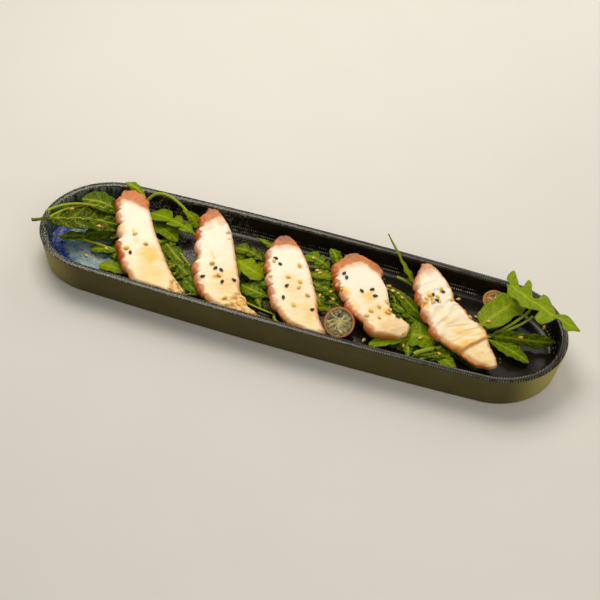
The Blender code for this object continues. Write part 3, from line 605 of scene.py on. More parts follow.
@dataclass(frozen=True)
class CookedOctopus:
    """Octopus arm, boiled and cut with a knife.

    The cut flesh is moist and lets light in a little, so it looks soft and creamy, yellower where the
    dressing soaked in. The skin is thin, wrinkled and orange-brown, with a mauve membrane at the back.
    Painted shade is laid in its colours as well: a deeper orange in the creases between the suckers,
    and a brown line of deep dressing colour along each fold.
    """

    flesh: str = "#fdf1da"
    flesh_shade: str = "#f8dc9c"
    dressing: str = "#f6cd70"
    # Deep dressing, also laid along each fold as painted shade under the folded lobe
    deep_dressing_and_fold_shade: str = "#d28230"
    # Orange edge colour, laid deeper in the creases between the suckers as painted shade
    rind_and_crease_shade: str = "#e08e3c"
    skin: str = "#a95426"
    skin_pale: str = "#d2823e"
    sucker: str = "#b64f0e"
    skirt: str = "#dba352"
    plum: str = "#8a6254"
    roughness: float = 0.4
    specular: float = 0.25
    coat: float = 0.08
    scatter_mm: float = 1.4
    # Muscle fibre bundles are really about 0.3 mm, and are drawn coarser so that they show
    fibre_mm: float = 2.2
    cloud_mm: float = 9.0
    wrinkle_mm: float = 2.6
    relief_mm: float = 0.26

    def build(self) -> Material:
        """Mix the material from the marks painted on the slices, the palest first.

        Returns:
            The material.
        """
        mix = Recipe(
            "cooked_octopus", self.roughness, coat_weight=self.coat, coat_roughness=0.12,
            specular_ior_level=self.specular, subsurface_weight=0.12, subsurface_radius=(1.0, 0.5, 0.25),
            subsurface_scale=self.scatter_mm * MM,
        )
        fibres = mix.add("TexNoise", mix.place, per_metre(self.fibre_mm), 3.0)
        clouds = mix.add("TexNoise", mix.place, per_metre(self.cloud_mm), 3.0)
        cream = mix.add("Attribute", attribute_name="cream")
        yellowed = mix.add("Math", clouds, 0.5, cream, operation="MULTIPLY_ADD")
        colour = mix.add("Mix", mix.add("MapRange", yellowed, 0.22, 1.15), self.flesh, self.flesh_shade)
        skin = mix.add("Mix", mix.blotches(self.wrinkle_mm, 3.0, 0.3, 0.7), self.skin, self.skin_pale)
        skirt = mix.add("Mix", mix.blotches(self.wrinkle_mm, 3.0, 0.42, 0.58), self.skirt, self.flesh_shade)
        colour = mix.paint_marks(colour, (
            ("dressing", self.dressing), ("deep", self.deep_dressing_and_fold_shade), ("rind_and_crease_shade", self.rind_and_crease_shade), ("skirt", skirt),
            ("skin", skin), ("pink", self.skin_pale), ("sucker", self.sucker), ("plum", self.plum),
        ))
        return mix.finish(colour, fibres, self.relief_mm)


@dataclass(frozen=True)
class RocketLeaf:
    """Fresh rocket leaf with a film of dressing.

    The blade is thin and satin, deep green between its veins and yellow-green where it is young, with
    a fine net of pale veins pressed into it. The painted tone that picks the green carries painted
    shade as well: it is darker on lower sides, on the filling leaves and on the core.
    """

    dark: str = "#182402"
    middle: str = "#4a6702"
    bright: str = "#8ca404"
    vein: str = "#abb722"
    roughness: float = 0.34
    specular: float = 0.04
    coat: float = 0.03
    # The fields between the finest veins are really about 1 mm, and are drawn coarser so that they show
    cell_mm: float = 1.9
    net_mm: float = 2.2
    net_strength: float = 0.3
    vein_strength: float = 0.75
    cell_contrast: float = 0.36
    relief_mm: float = 0.22

    def build(self) -> Material:
        """Mix the material: the painted brightness, broken by cells, then the net and the main veins.

        Returns:
            The material.
        """
        mix = Recipe(
            "rocket_leaf", self.roughness, coat_weight=self.coat, coat_roughness=0.04,
            specular_ior_level=self.specular,
        )
        cells = mix.add("TexNoise", mix.place, per_metre(self.cell_mm), 3.0)
        tone = mix.add("Attribute", attribute_name="tone")
        tone = mix.add("Math", cells, self.cell_contrast, tone, operation="MULTIPLY_ADD")
        tone = mix.add("Math", tone, self.cell_contrast / 2, operation="SUBTRACT")
        colour = mix.add("ValToRGB", tone, stops=((0.0, self.dark), (0.5, self.middle), (1.0, self.bright)))
        net = mix.add("MapRange", mix.add("TexVoronoi", mix.place, per_metre(self.net_mm)), 0.12, 0.0)
        colour = mix.add("Mix", mix.add("Math", net, self.net_strength), colour, self.vein)
        vein = mix.add("Attribute", attribute_name="vein")
        colour = mix.add("Mix", mix.add("Math", vein, self.vein_strength), colour, self.vein)
        relief = mix.add("Math", net, -0.6, cells, operation="MULTIPLY_ADD")
        return mix.finish(colour, relief, self.relief_mm)


@dataclass(frozen=True)
class RocketStem:
    """Fresh rocket stalk.

    Its skin is smooth and firm, so it looks softly shiny, in bands of pale yellow-green and green, and
    one stalk is blushed with red.
    """

    pale: str = "#bac534"
    green: str = "#7d9208"
    blush: str = "#98502c"
    roughness: float = 0.35
    specular: float = 0.12
    coat: float = 0.06
    band_mm: float = 5.0
    # Grooves are really about 0.4 mm apart, and are drawn coarser so that they show
    groove_mm: float = 0.9
    relief_mm: float = 0.05

    def build(self) -> Material:
        """Mix the material.

        Returns:
            The material.
        """
        mix = Recipe(
            "rocket_stem", self.roughness, coat_weight=self.coat, coat_roughness=0.1,
            specular_ior_level=self.specular,
        )
        bands = mix.add("TexNoise", mix.place, per_metre(self.band_mm), 2.0)
        colour = mix.add("Mix", bands, self.green, self.pale)
        colour = mix.paint_marks(colour, (("blush", self.blush),))
        grooves = mix.add("TexNoise", mix.place, per_metre(self.groove_mm), 2.0)
        return mix.finish(colour, grooves, self.relief_mm)


@dataclass(frozen=True)
class SesameHull:
    """Sesame hull, roasted dry: softly shiny, patchy in colour and faintly pitted."""

    name: str
    shade: str
    light: str
    roughness: float = 0.45
    coat: float = 0.1
    patch_mm: float = 0.9
    # Pits are really about 0.1 mm, and are drawn coarser so that they show
    pit_mm: float = 0.5
    relief_mm: float = 0.04

    def build(self) -> Material:
        """Mix the material.

        Returns:
            The material.
        """
        mix = Recipe(self.name, self.roughness, coat_weight=self.coat)
        patches = mix.add("TexNoise", mix.place, per_metre(self.patch_mm), 2.0)
        pits = mix.add("TexNoise", mix.place, per_metre(self.pit_mm), 2.0)
        return mix.finish(mix.add("Mix", patches, self.shade, self.light), pits, self.relief_mm)


class SeedKind(Enum):
    """The sesame seeds, by their colour."""

    BLACK = SesameHull("sesame_black", "#15100b", "#2a2218")
    TOASTED = SesameHull("sesame_toasted", "#cf9a34", "#f0cb62")
    PALE = SesameHull("sesame_pale", "#dfb453", "#f5da88")


@dataclass(frozen=True)
class TomatoFlesh:
    """Cherry tomato, cut across.

    The gel between the pale fibres is wet and lets light in, so it looks deep and glossy. The wall
    round it is firmer and the skin is thin, waxy and red.
    """

    name: str
    gel: str
    gel_deep: str
    pulp: str
    fibre: str
    skin: str
    dark: str = "#1d1f10"
    roughness: float = 0.25
    coat: float = 0.22
    scatter_mm: float = 1.0
    gel_mm: float = 2.0
    grain_mm: float = 1.2
    relief_mm: float = 0.12

    def build(self) -> Material:
        """Mix the material from the marks painted on the half.

        Returns:
            The material.
        """
        mix = Recipe(
            self.name, self.roughness, coat_weight=self.coat, coat_roughness=0.1, subsurface_weight=0.12,
            subsurface_radius=(1.0, 0.6, 0.2), subsurface_scale=self.scatter_mm * MM,
        )
        colour = mix.add("Mix", mix.blotches(self.gel_mm, 3.0, 0.4, 0.6), self.gel_deep, self.gel)
        colour = mix.paint_marks(
            colour, (("pulp", self.pulp), ("fibre", self.fibre), ("dark", self.dark), ("skin", self.skin))
        )
        grain = mix.add("TexNoise", mix.place, per_metre(self.grain_mm), 2.0)
        return mix.finish(colour, grain, self.relief_mm)


@dataclass(frozen=True)
class OilDressing:
    """Oil and lemon dressing: clear, faintly golden and mirror smooth, so each drop carries a glint."""

    deep: str = "#f3e3a8"
    clear: str = "#fbf6da"
    roughness: float = 0.06
    ior: float = 1.46
    clearness: float = 0.85
    cloud_mm: float = 4.0

    def build(self) -> Material:
        """Mix the material.

        Returns:
            The material.
        """
        mix = Recipe("oil_dressing", self.roughness, transmission_weight=self.clearness, ior=self.ior)
        clouds = mix.add("TexNoise", mix.place, per_metre(self.cloud_mm), 2.0)
        return mix.finish(mix.add("Mix", clouds, self.deep, self.clear))


@dataclass(frozen=True)
class PlainFloor:
    """Painted board, rolled on: pale, matt and very faintly cloudy, so it only catches the shadow."""

    colour: str = "#d8d6d0"
    cloud: str = "#dcdad5"
    roughness: float = 0.9
    cloud_mm: float = 60.0

    def build(self) -> Material:
        """Mix the material.

        Returns:
            The material.
        """
        mix = Recipe("studio_floor", self.roughness)
        clouds = mix.add("TexNoise", mix.place, per_metre(self.cloud_mm), 2.0)
        return mix.finish(mix.add("Mix", clouds, self.colour, self.cloud))


# Dish


@dataclass(frozen=True)
class StonewareDish:
    """The long dish: half-round ends, sides that swell a little, and a crowned rim.

    outside and inside are rows of (inset from the shoulder, height), from the foot to the rim and from
    the rim to the floor.
    """

    length: float = 360.0
    end_radius: float = 46.3
    side_swell: float = 2.7
    floor_height: float = 8.3
    end_segments: int = 72
    side_segments: int = 44
    outside: tuple = ((4.7, 0.0), (3.6, 0.5), (3.2, 2.0), (0.4, 22.5), (0.1, 23.6), (0.8, 24.3))
    inside: tuple = ((2.7, 24.5), (4.6, 24.2), (5.4, 23.2), (6.0, 12.5), (7.0, 10.0), (10.5, 8.3))
    floor_insets: tuple = (16.0, 24.0, 34.0)
    rounding_steps: int = 2
    glazed_from: float = 23.7
    # The outer wall is trimmed by hand, so it wobbles, and the inside sags a little here and there
    wall_inset: float = 4.0
    wall_top: float = 24.0
    wobble: float = 0.12
    wobble_size: float = 38.0
    sag: float = 0.075
    sag_size: float = 22.0

    @property
    def half_straight(self) -> float:
        """Half the length between the centres of the two ends."""
        return self.length / 2 - self.end_radius

    def outline(self, inset: float) -> list[tuple[float, float]]:
        """Draw the plan outline.

        Args:
            inset: how far it lies inside the shoulder.

        Returns:
            Its points, anticlockwise.
        """
        radius = self.end_radius - inset
        points = []
        for side in (1, -1):
            for i in range(self.end_segments):
                angle = math.pi * (i / self.end_segments - 0.5)
                along = self.half_straight + radius * math.cos(angle)
                points.append((side * along, side * radius * math.sin(angle)))
            for i in range(self.side_segments):
                share = 1 - 2 * i / self.side_segments
                swell = self.side_swell * (1 - share**2)
                points.append((side * share * self.half_straight, side * (radius + swell)))
        return points

    def inset_at(self, x: float, y: float) -> float:
        """Measure how far a plan point lies inside the shoulder.

        Args:
            x: the place along the dish.
            y: the place across it.

        Returns:
            The distance, less than 0 outside the dish.
        """
        beyond = abs(x) - self.half_straight
        if beyond > 0:
            return self.end_radius - math.hypot(beyond, y)
        return self.end_radius + self.side_swell * (1 - (x / self.half_straight) ** 2) - abs(y)

    def surface_at(self, x: float, y: float) -> float | None:
        """Return the height of the upper surface at a plan point, or None outside the dish."""
        inset = self.inset_at(x, y)
        return None if inset < 0 else straight_rows(self.inside, inset)

    def profile(self) -> list[tuple[float, float]]:
        """Draw the section from foot to floor with its corners rounded.

        Returns:
            Its rows of (inset, height).
        """
        rows = list(self.outside + self.inside)
        rows += [(inset, self.floor_height) for inset in self.floor_insets]
        for _ in range(self.rounding_steps):
            rounded = [rows[0]]
            for (a, b), (c, d) in zip(rows, rows[1:]):
                rounded += [(between(a, c, share), between(b, d, share)) for share in (0.25, 0.75)]
            rows = rounded + [rows[-1]]
        return rows

    def hand_made(self, x: float, y: float, inset: float, height: float) -> Vector:
        """Move a point of the true form as far as making it by hand does.

        Args:
            x: the place along the dish.
            y: the place across it.
            inset: how far it lies inside the shoulder.
            height: its height.

        Returns:
            The moved point.
        """
        shrink, sag = 1.0, 0.0
        if height < self.wall_top and inset < self.wall_inset:
            shrink -= self.wobble * (1 + lumps(x, y, self.wobble_size)) / self.end_radius
        if height > self.floor_height + 1:
            sag = self.sag * (1 + lumps(x, y, self.sag_size, 4.0))
        return Vector((x, y * shrink, max(height - sag, 0.0)))

    def build(self, clay: Material, glaze: Material) -> bpy.types.Object:
        """Skin the dish, bare outside and glazed from the rim inwards.

        Args:
            clay: the material outside.
            glaze: the material inside.

        Returns:
            The new object.
        """
        piece = Piece("stoneware_dish_glazed")
        rings, finishes = [], []
        glazed = False
        for inset, height in self.profile():
            outline = self.outline(inset)
            rings.append([piece.add_point(self.hand_made(x, y, inset, height)) for x, y in outline])
            glazed = glazed or height > self.glazed_from
            finishes.append(int(glazed))
        piece.add_rings(rings, finishes)
        return piece.build([clay, glaze], "stoneware", "stoneware_dish")


# Octopus slices


@dataclass(frozen=True)
class Mark:
    """A mark on a slice: its place, its half-sizes and its strength."""

    along: float
    across: float
    half_along: float
    half_across: float
    strength: float = 1.0

    def at(self, along: float, across: float, ragged: float) -> float:
        """Return how strongly the mark shows at a place, with its edge moved by the ragged noise."""
        reach = math.hypot((along - self.along) / self.half_along, (across - self.across) / self.half_across)
        return self.strength * smooth_step(1.25, 0.4, reach + ragged * 0.4)


@dataclass(frozen=True)
class OctopusSlice:
    """One slice: its spine, its two edges, its suckers and what lies on it.

    back and front are the spine's ends. Each row of edges is (along, left edge, right edge, drop of the
    right side), each sucker is (along, how far it stands out, how brown it is), each fold is (along,
    slope, step) and each flap is a notch in the right edge: (along, half-length, depth). skin_edge and
    skirt_edge are (across, along) lines, where the skin ends and where the thin brown skirt starts.
    """

    name: str
    back: tuple
    front: tuple
    edges: tuple
    suckers: tuple
    skin_edge: tuple
    bow: float = 1.0
    ridge: float = 0.0
    frill: float = 0.8
    fold: tuple = ()
    flaps: tuple = ()
    skirt_edge: tuple = ()
    skin_strength: float = 1.0
    sucker_strength: float = 1.0
    membrane_strength: float = 0.4
    right_edge_colour: float = 0.6
    dressing: tuple = ()
    deep: tuple = ()
    pink: tuple = ()
    plum: tuple = ()
    dimples: tuple = ()
    black_seeds: tuple = ()
    toasted_seeds: tuple = ()
    pale_seeds: tuple = ()
    thickness: float = 6.5
    end_round: float = 5.0
    end_thickness_share: float = 0.35
    end_width_share: float = 0.6
    lowest_underside: float = 11.6
    least_rise: float = 1.5
    ridge_pitch: float = 9.0
    ridge_height: float = 0.75
    ridged: tuple = ((30.0, 38.0), (73.0, 68.0))
    sucker_half_length: float = 5.2
    cup_height: float = 0.8
    crease_depth: float = 1.2
    dimple_depth: float = 0.3
    stations: int = 170
    ring_points: int = 72
    # Distances at which a painted part is gone and at which it is full
    skin_fade: tuple = (1.0, -0.8)
    halo_fade: tuple = (6.5, -1.0)
    skirt_fade: tuple = (-1.0, 2.0)
    torn_fade: tuple = (2.6, 0.4)
    left_fade: tuple = (3.6, 0.4)
    right_fade: tuple = (3.4, 0.3)
    membrane_fade: tuple = (5.0, 0.5)
    fold_fade: tuple = (1.3, 0.2)
    crease_fade: tuple = (0.6, 0.1)

    SECTION = (
        (1.0, 0.0), (0.9, 0.75), (0.55, 0.98), (0.0, 1.0), (-0.55, 0.98), (-0.9, 0.75),
        (-1.0, 0.0), (-0.88, -0.8), (-0.45, -1.0), (0.45, -1.0), (0.88, -0.8),
    )

    @property
    def start(self) -> float:
        """The first place on the spine."""
        return self.edges[0][0]

    @property
    def end(self) -> float:
        """The last place on the spine."""
        return self.edges[-1][0]

    def axes(self) -> tuple[float, Vector, Vector]:
        """Find the spine in the plan.

        Returns:
            Its length, its direction and the direction to its left.
        """
        run = Vector(self.front[:2]) - Vector(self.back[:2])
        direction = run.normalized()
        return run.length, direction, Vector((direction.y, -direction.x))

    def sucker_share(self, along: float) -> float:
        """Return 1 in line with the middle of a sucker, falling to 0 between two."""
        reaches = (1 - ((along - place) / self.sucker_half_length) ** 2 for place, _, _ in self.suckers)
        return math.sqrt(max(0.0, *reaches))

    def sucker_tint(self, along: float) -> float:
        """Find how brown the sucker is that stands in line with a place.

        Args:
            along: the place along the spine.

        Returns:
            0 between two suckers, up to the sucker's own brown.
        """
        return max(
            brown * smooth_step(self.sucker_half_length, 3.4, abs(along - place))
            for place, _, brown in self.suckers
        )

    def edges_at(self, along: float) -> tuple[float, float]:
        """Find the slice's two edges, suckers included.

        Args:
            along: place on the spine.

        Returns:
            How far the left and the right edge lie from the spine.
        """
        bumps = sum(
            reach * math.sqrt(max(0.0, 1 - ((along - place) / self.sucker_half_length) ** 2))
            for place, reach, _ in self.suckers
        )
        return smooth_rows(self.edges, along, 1) + bumps, smooth_rows(self.edges, along, 2)

    def ragged_edges(self, along: float) -> tuple[float, float]:
        """Find the two edges with their frills, scallops and flaps.

        Args:
            along: place on the spine.

        Returns:
            How far the left and the right edge lie from the spine.
        """
        left, right = self.edges_at(along)
        back_frill = 3.2 * smooth_step(18, 5, along - self.start)
        frill = 1 + back_frill + self.frill * smooth_step(26, 12, self.end - along)
        left += 0.4 * frill * lumps(along, 0.0, 2.6, 11.0) + 1.2 * (self.sucker_share(along) - 0.65)
        left += 0.5 * lumps(along, 0.0, 1.7, 21.0)
        right += 0.4 * frill * lumps(along, 0.0, 2.8, 12.0)
        right -= sum(
            depth * smooth_step(1.0, 0.2, abs(along - place) / half) for place, half, depth in self.flaps
        )
        return left, right

    def height_at(self, along: float, share: float, up: float) -> float:
        """Find the height of the smooth slice.

        Args:
            along: place on the spine.
            share: 1 at the left edge to -1 at the right edge.
            up: -1 below to 1 on top.

        Returns:
            The height in millimetres.
        """
        progress = (along - self.start) / (self.end - self.start)
        bow = self.bow * math.sin(math.pi * progress)
        top = between(self.back[2], self.front[2], along / self.axes()[0]) + bow
        to_end = clamp(min(along - self.start, self.end - along) / self.end_round)
        thickness = self.thickness * between(self.end_thickness_share, 1.0, math.sqrt(to_end))
        drop = smooth_rows(self.edges, along, 3) * clamp(0.5 - share * 0.5) ** 2
        height = top - self.thickness / 2 + up * thickness / 2 - drop
        return max(height, self.lowest_underside + (1 + up) * self.least_rise)

    def point(self, along: float, across: float, height: float) -> Vector:
        """Turn a place on the slice into a point of the row frame.

        Args:
            along: place on the spine.
            across: distance to its left.
            height: height in millimetres.

        Returns:
            The point.
        """
        _, direction, left = self.axes()
        plan = Vector(self.back[:2]) + direction * along + left * across
        return Vector((plan.x, plan.y, height))

    def place_of(self, x: float, y: float) -> tuple[float, float]:
        """Turn a plan point into its place along and across the spine.

        Args:
            x: the point's place along the dish.
            y: its place across the dish.

        Returns:
            The place on the spine and the distance to its left.
        """
        _, direction, left = self.axes()
        offset = Vector((x, y)) - Vector(self.back[:2])
        return offset.dot(direction), offset.dot(left)

    def section(self) -> list[tuple[float, float]]:
        """Draw the unit section as a smooth closed curve.

        Returns:
            Its points, as shares of the half-width and the half-thickness.
        """
        count = len(self.SECTION)
        points = []
        for i in range(self.ring_points):
            place = i * count / self.ring_points
            stops = tuple(Vector(self.SECTION[(int(place) + k) % count]) for k in (-1, 0, 1, 2))
            curve = curve_through(stops, place % 1.0)
            points.append((clamp(curve.x, -1, 1), clamp(curve.y, -1, 1)))
        return points

    def sucker_cups(self, along: float, across: float) -> tuple[float, float]:
        """Shape and colour the suckers that lie along the left edge.

        Args:
            along: place on the spine.
            across: distance to its left.

        Returns:
            Their relief there, in millimetres, and how much of their brown shows.
        """
        relief = colour = 0.0
        for place, reach, brown in self.suckers:
            edge = smooth_rows(self.edges, place, 1) + reach
            off = math.hypot((along - place) / 4.2, (across - (edge - 1.5)) / 2.4)
            groove = 0.3 * smooth_step(0.35, 0.0, abs(off - 1.35))
            relief += self.cup_height * smooth_step(1.25, 0.5, off) - groove
            tinted = math.hypot((along - place) / 5.4, (across - edge) / 5.0)
            tinted += 0.2 * lumps(along, across, 2.2, 16.0)
            colour = max(colour, smooth_step(1.1, 0.7, tinted) * (0.2 + 0.8 * brown))
        return relief, colour

    def ridges(self, along: float, across: float) -> float:
        """Shape the ridges that cross the slice where it is pushed together.

        Args:
            along: place on the spine.
            across: distance to its left.

        Returns:
            Their relief there, from about -1 to 1.
        """
        progress = clamp((along - self.start) / (self.end - self.start))
        sway = along - across * 0.38 + 7.0 * lumps(along, across, 12.0, 3.0)
        wave = math.sin(sway * 2 * math.pi / self.ridge_pitch)
        bend = 3 * lumps(along, across, 9.0, 6.0)
        fine = 0.5 * math.sin(sway * 2 * math.pi / (self.ridge_pitch * 0.42) + bend)
        return (wave + fine) * math.sin(math.pi * progress) ** 2

    def paint(self, along: float, across: float, left: float, right: float, up: float) -> dict[str, float]:
        """Paint the marks that the cooked octopus finish reads.

        Args:
            along: place on the spine.
            across: distance to its left.
            left: how far the left edge lies from the spine.
            right: how far the right edge lies from the spine.
            up: -1 below to 1 on top.

        Returns:
            How strongly each mark shows there, from 0 to 1.
        """
        ragged = lumps(along, across, 4.0, 1.0)
        marks = {
            name: max((mark.at(along, across, ragged) for mark in getattr(self, name)), default=0.0)
            for name in ("dressing", "deep", "pink", "plum")
        }
        past_skin = along - (straight_rows(self.skin_edge, across) + 1.4 * ragged)
        marks["skin"] = smooth_step(*self.skin_fade, past_skin) * self.skin_strength
        marks["pink"] = max(marks["pink"], smooth_step(*self.halo_fade, past_skin) * 0.6 * self.skin_strength)
        marks["skirt"] = 0.0
        if self.skirt_edge:
            past_line = along - (straight_rows(self.skirt_edge, across) + 1.6 * ragged)
            marks["skirt"] = smooth_step(*self.skirt_fade, past_line)
            torn = smooth_step(*self.torn_fade, across - right + 1.2 * lumps(along, across, 2.0, 17.0))
            marks["deep"] = max(marks["deep"], marks["skirt"] * torn * 0.75)

        # The suckers' brown, down their sides too, and the orange line along both edges, which on the
        # left deepens in the creases between the suckers as painted shade
        tint = self.sucker_tint(along)
        low_left = smooth_step(0.8, 0.0, up) * smooth_step(-3, 4, across)
        brown = max(self.sucker_cups(along, across)[1], low_left * between(0.5, 0.95, tint))
        marks["sucker"] = clamp(brown) * self.sucker_strength
        # Painted shade: the orange edge colour is laid stronger in the creases between the suckers
        crease = smooth_step(*self.crease_fade, self.sucker_share(along))
        crease *= smooth_step(6.0, 1.0, left - across)
        left_line = smooth_step(*self.left_fade, left - across + 0.9 * ragged)
        left_line *= 0.7 + 0.2 * crease + 0.3 * tint
        right_line = smooth_step(*self.right_fade, across - right + 0.9 * ragged) * self.right_edge_colour
        low_right = smooth_step(0.8, -0.2, up) * smooth_step(3, -4, across) * 0.7
        marks["rind_and_crease_shade"] = max(left_line, right_line, low_right)

        marks["cream"] = smooth_step(0.25, 0.9, (along - self.start) / (self.end - self.start)) * 0.6
        membrane = smooth_step(*self.membrane_fade, along - self.start + 1.5 * ragged)
        marks["plum"] = max(marks["plum"], membrane * self.membrane_strength)
        # Each fold gets a line of the deep dressing colour: painted shade where the lobe folds over
        for place, slope, _ in self.fold:
            line = smooth_step(*self.fold_fade, abs(along - place - slope * across + 0.5 * ragged))
            marks["deep"] = max(marks["deep"], 0.8 * line)
        if self.ridge:
            valley = smooth_step(0.1, -1.0, self.ridges(along, across))
            for fade in self.ridged:
                valley *= smooth_step(*fade, along)
            patchy = smooth_step(-0.3, 0.4, lumps(along, across, 8.0, 15.0))
            marks["dressing"] = max(marks["dressing"], valley * patchy * 0.3)
        return {name: clamp(value) for name, value in marks.items()}

    def relief(self, along: float, across: float, marks: dict[str, float]) -> float:
        """Shape the top: soft lumps, wrinkled skin, creases, a torn skirt, dimples, ridges and folds.

        Args:
            along: place on the spine.
            across: distance to its left.
            marks: how strongly each mark shows there.

        Returns:
            How far the top stands above the smooth form, in millimetres.
        """
        height = 0.42 * lumps(along, across, 7.0, 5.0) + 0.2 * lumps(along, across, 2.4, 6.0)
        height += marks["skin"] * (0.2 + 0.9 * abs(lumps(along, across, 3.2, 8.0)))
        torn = 2.0 * lumps(along, across, 4.2, 9.0) + 1.0 * lumps(along, across, 1.9, 9.0) - 0.3
        height += marks["skirt"] * torn
        from_left = self.edges_at(along)[0] - across
        crease = smooth_step(*self.crease_fade, self.sucker_share(along)) * smooth_step(4.5, 0.5, from_left)
        height -= self.crease_depth * crease
        height -= sum(self.dimple_depth * mark.at(along, across, 0.0) for mark in self.dimples)
        height += self.ridge * self.ridges(along, across) * self.ridge_height
        for place, slope, step in self.fold:
            beyond = along - place - slope * across
            height += step * (smooth_step(-9, -1, beyond) - 1.4 * smooth_step(-0.5, 0.7, beyond))
        return height + self.sucker_cups(along, across)[0]

    def add_station(self, piece: Piece, section: list[tuple[float, float]], spot: float) -> list[int]:
        """Add one ring of the slice, its back end torn a little along the spine.

        Args:
            piece: the piece that the ring goes into.
            section: the unit section.
            spot: the ring's place on the spine.

        Returns:
            The numbers of the ring's vertices.
        """
        left, right = self.ragged_edges(spot)
        to_end = clamp(min(spot - self.start, self.end - spot) / self.end_round)
        half = (left - right) / 2 * between(self.end_width_share, 1.0, math.sqrt(to_end))
        torn = smooth_step(9.0, 0.0, spot - self.start)
        ring = []
        for side, up in section:
            across = (left + right) / 2 + half * side
            along = spot + torn * (2.3 * lumps(across, 3.0, 2.5, 13.0) + 1.2)
            marks = self.paint(along, across, left, right, up)
            inside = clamp(min(along - self.start, self.end - along) / 2.0)
            relief = self.relief(along, across, marks) * smooth_step(0.1, 0.9, up) * inside
            point = self.point(along, across, self.height_at(along, side, up) + relief)
            ring.append(piece.add_point(point, **marks))
        return ring

    def build(self, flesh: Material) -> bpy.types.Object:
        """Skin the slice, with finer stations towards its two ends.

        Args:
            flesh: the cooked octopus finish.

        Returns:
            The new object.
        """
        piece = Piece(self.name + "_dressed")
        section = self.section()
        rings = []
        for i in range(self.stations):
            even = i / (self.stations - 1)
            share = between(even, 0.5 - 0.5 * math.cos(math.pi * even), 0.35)
            rings.append(self.add_station(piece, section, between(self.start, self.end, share)))
        piece.add_rings(rings)
        return piece.build([flesh], "octopus", self.name)


